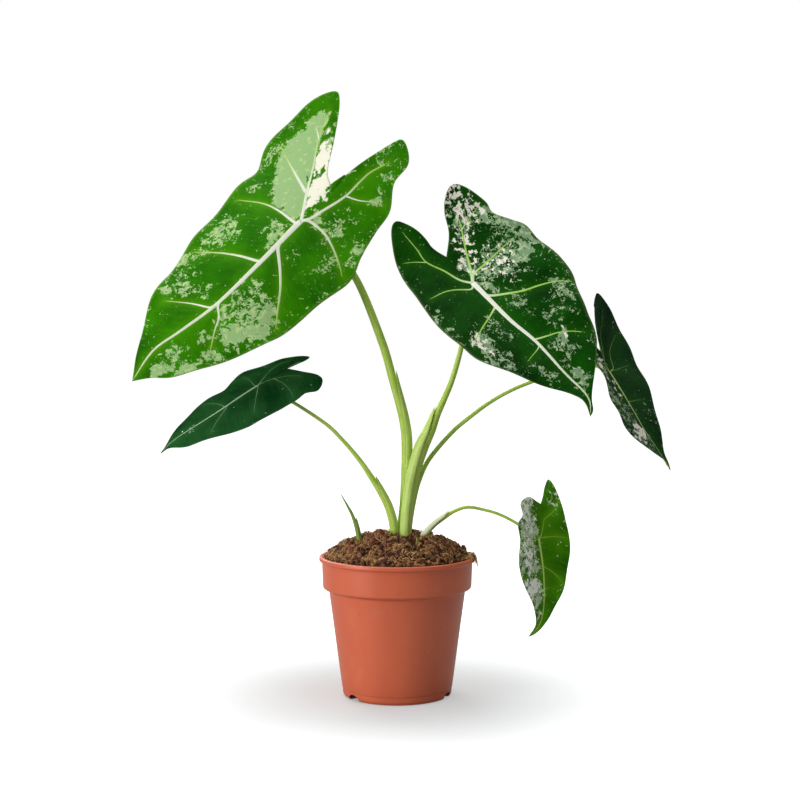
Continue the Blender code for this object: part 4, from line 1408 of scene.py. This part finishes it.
def stalk_rings(path):
    """Rings round a path of place and radius, very slightly ribbed, with what the finish reads."""
    places, radius = path[:, :3], path[:, 3]
    _, side, back = carried_frame(places)
    turn = turns(STALK_SIDES)
    ribbed = 1 + 0.012 * np.cos(7 * turn) + 0.008 * np.cos(4 * turn + 1)
    ring = np.cos(turn)[:, None] * side[:, None] + np.sin(turn)[:, None] * back[:, None]
    rings = places[:, None] + ring * (radius[:, None] * ribbed)[..., None]
    around = [radius[:, None] * np.cos(turn), radius[:, None] * np.sin(turn)]
    around.append(np.broadcast_to(run_of(places)[:, None], around[0].shape))
    return rings, np.stack(around, -1).reshape(-1, 3)


def sleeve_rings(path, first, last, toward, span, stand):
    """A sheath: a crescent hugging the stalk on one side, narrowing to a tip that stands off it."""
    climb = np.linspace(0, 1, SHEATH_ROWS)
    rising = path[: np.argmax(path[:, 2]) + 1]
    heights = first + climb * (last - first)
    rows = np.stack([np.interp(heights, rising[:, 2], column) for column in rising.T], 1)
    places, radius = rows[:, :3], rows[:, 3]
    tangent = unit(np.gradient(places, axis=0))
    face = unit(np.array(toward) - tangent * (tangent @ np.array(toward))[:, None])
    beside = np.cross(tangent, face)
    reach = np.radians(span) * np.sqrt(np.clip(1 - climb**3, 0.004, 1))
    fan = np.linspace(-1, 1, SHEATH_FAN)
    angle = reach[:, None] * fan
    gap = stand * climb**4 + 0.25
    thick = 0.55 * np.sqrt(np.clip(1 - climb**4, 0.02, 1))
    edge = np.clip(1 - np.abs(fan) ** 6, 0.15, 1)
    spread = np.cos(angle)[..., None] * face[:, None] + np.sin(angle)[..., None] * beside[:, None]
    away = (radius + gap)[:, None] + np.array([1.0, -0.35])[:, None, None] * thick[:, None] * edge
    outer, inner = places[:, None] + spread * away[..., None]
    rings = np.concatenate([outer, inner[:, ::-1]], axis=1)
    height = np.broadcast_to(rows[:, 2:3], angle.shape)
    around = np.stack([angle * 4, np.zeros_like(angle), height], -1)
    return rings, np.concatenate([around, around[:, ::-1]], axis=1).reshape(-1, 3)


SLEEVES = {
    "petiole_1": (128, 249, (1.0, -0.25, 0.0), 88, 1.0),
    "petiole_2": (120, 221, (-1.0, -0.35, 0.2), 95, 1.4),
    "petiole_4": (120, 168, (0.8, -0.3, 0.6), 85, 1.0),
    "petiole_5": (118, 140.5, (-0.5, -0.3, 0.9), 100, 0.9),
    "shoot_1": (112, 136.5, (1.0, -0.2, 0.3), 95, 0.5),
}
WAN, WAN_SHEATHS = 0.08, {"petiole_5": 0.75, "petiole_2": 0.1, "shoot_1": 0.0}
MARKED_HEIGHT, MARKED_SPREAD = 185, 45


def make_stem(name, route, finish, slot):
    """A stalk or shoot with its sheath, joined in one piece. Flecks are thickest 185 mm up."""
    path = stalk_path(name, route)
    tubes = [(*stalk_rings(path), 0.0)]
    if name in SLEEVES:
        tubes.append((*sleeve_rings(path, *SLEEVES[name]), WAN_SHEATHS.get(name, WAN)))
    parts = [
        (*skin(rings), {"round": around, "wan": np.full(len(around), wan)})
        for rings, around, wan in tubes
    ]
    points, faces, fields = gathered(parts)
    fields["marked"] = np.clip(1.2 - np.abs(points[:, 2] - MARKED_HEIGHT) / MARKED_SPREAD, 0.15, 0.9)
    return new_piece("fine_" + name, points, faces, [finish], slot, name, **fields)


for name, route in PETIOLES.items():
    make_stem(name, route, stalk_finish, "stalk")
for name, route in SHOOTS.items():
    make_stem(name, route, shoot_finish, "shoot")

# %% [markdown]
# ## The floor
#
# The photograph stands on white with nothing round it but a soft shadow. A wide
# matt grey plane takes that shadow; its grey leans a touch to blue-green, painted light
# that cancels the red light the pot throws on it. To the camera alone it also glows,
# more and more with distance from the pot, so that it fades into the white backdrop.
# The dimmer ring near the pot is partly its real shadow and partly painted shadow.

# %% The floor
FLOOR_REACH = 6.0
corner_signs = [(-1, -1), (1, -1), (1, 1), (-1, 1)]
floor_corners = [(FLOOR_REACH * x, FLOOR_REACH * y, 0) for x, y in corner_signs]
floor_mesh = bpy.data.meshes.new("studio_floor")
floor_mesh.from_pydata(floor_corners, [], [(0, 1, 2, 3)])
floor = bpy.data.objects.new("studio_floor", floor_mesh)
bpy.context.scene.collection.objects.link(floor)
floor_glow_finish = Finish("floor_with_painted_glow")
# The blue-green lean of this grey is painted light against the pot's red bounce.
floor_glow_finish.surface({"Base Color": (0.52, 0.55, 0.552, 1.0), "Roughness": 0.9, "Specular IOR Level": 0.0})
from_pot = floor_glow_finish.node("VectorMath", "Value", {0: floor_glow_finish.place()}, operation="LENGTH")
# The glow is weakest near the pot, so part of the shadow round it is painted shadow.
glow = floor_glow_finish.ease(from_pot, 0.06, 0.27, 0.36, 1.0)
glow = floor_glow_finish.math("MULTIPLY", glow, floor_glow_finish.node("LightPath", "Is Camera Ray", {}))
floor_glow_finish.surface({"Emission Color": (1.0, 1.0, 1.0, 1.0), "Emission Strength": glow})
floor_mesh.materials.append(floor_glow_finish.material)
print("the floor is", 2 * FLOOR_REACH, "m across")
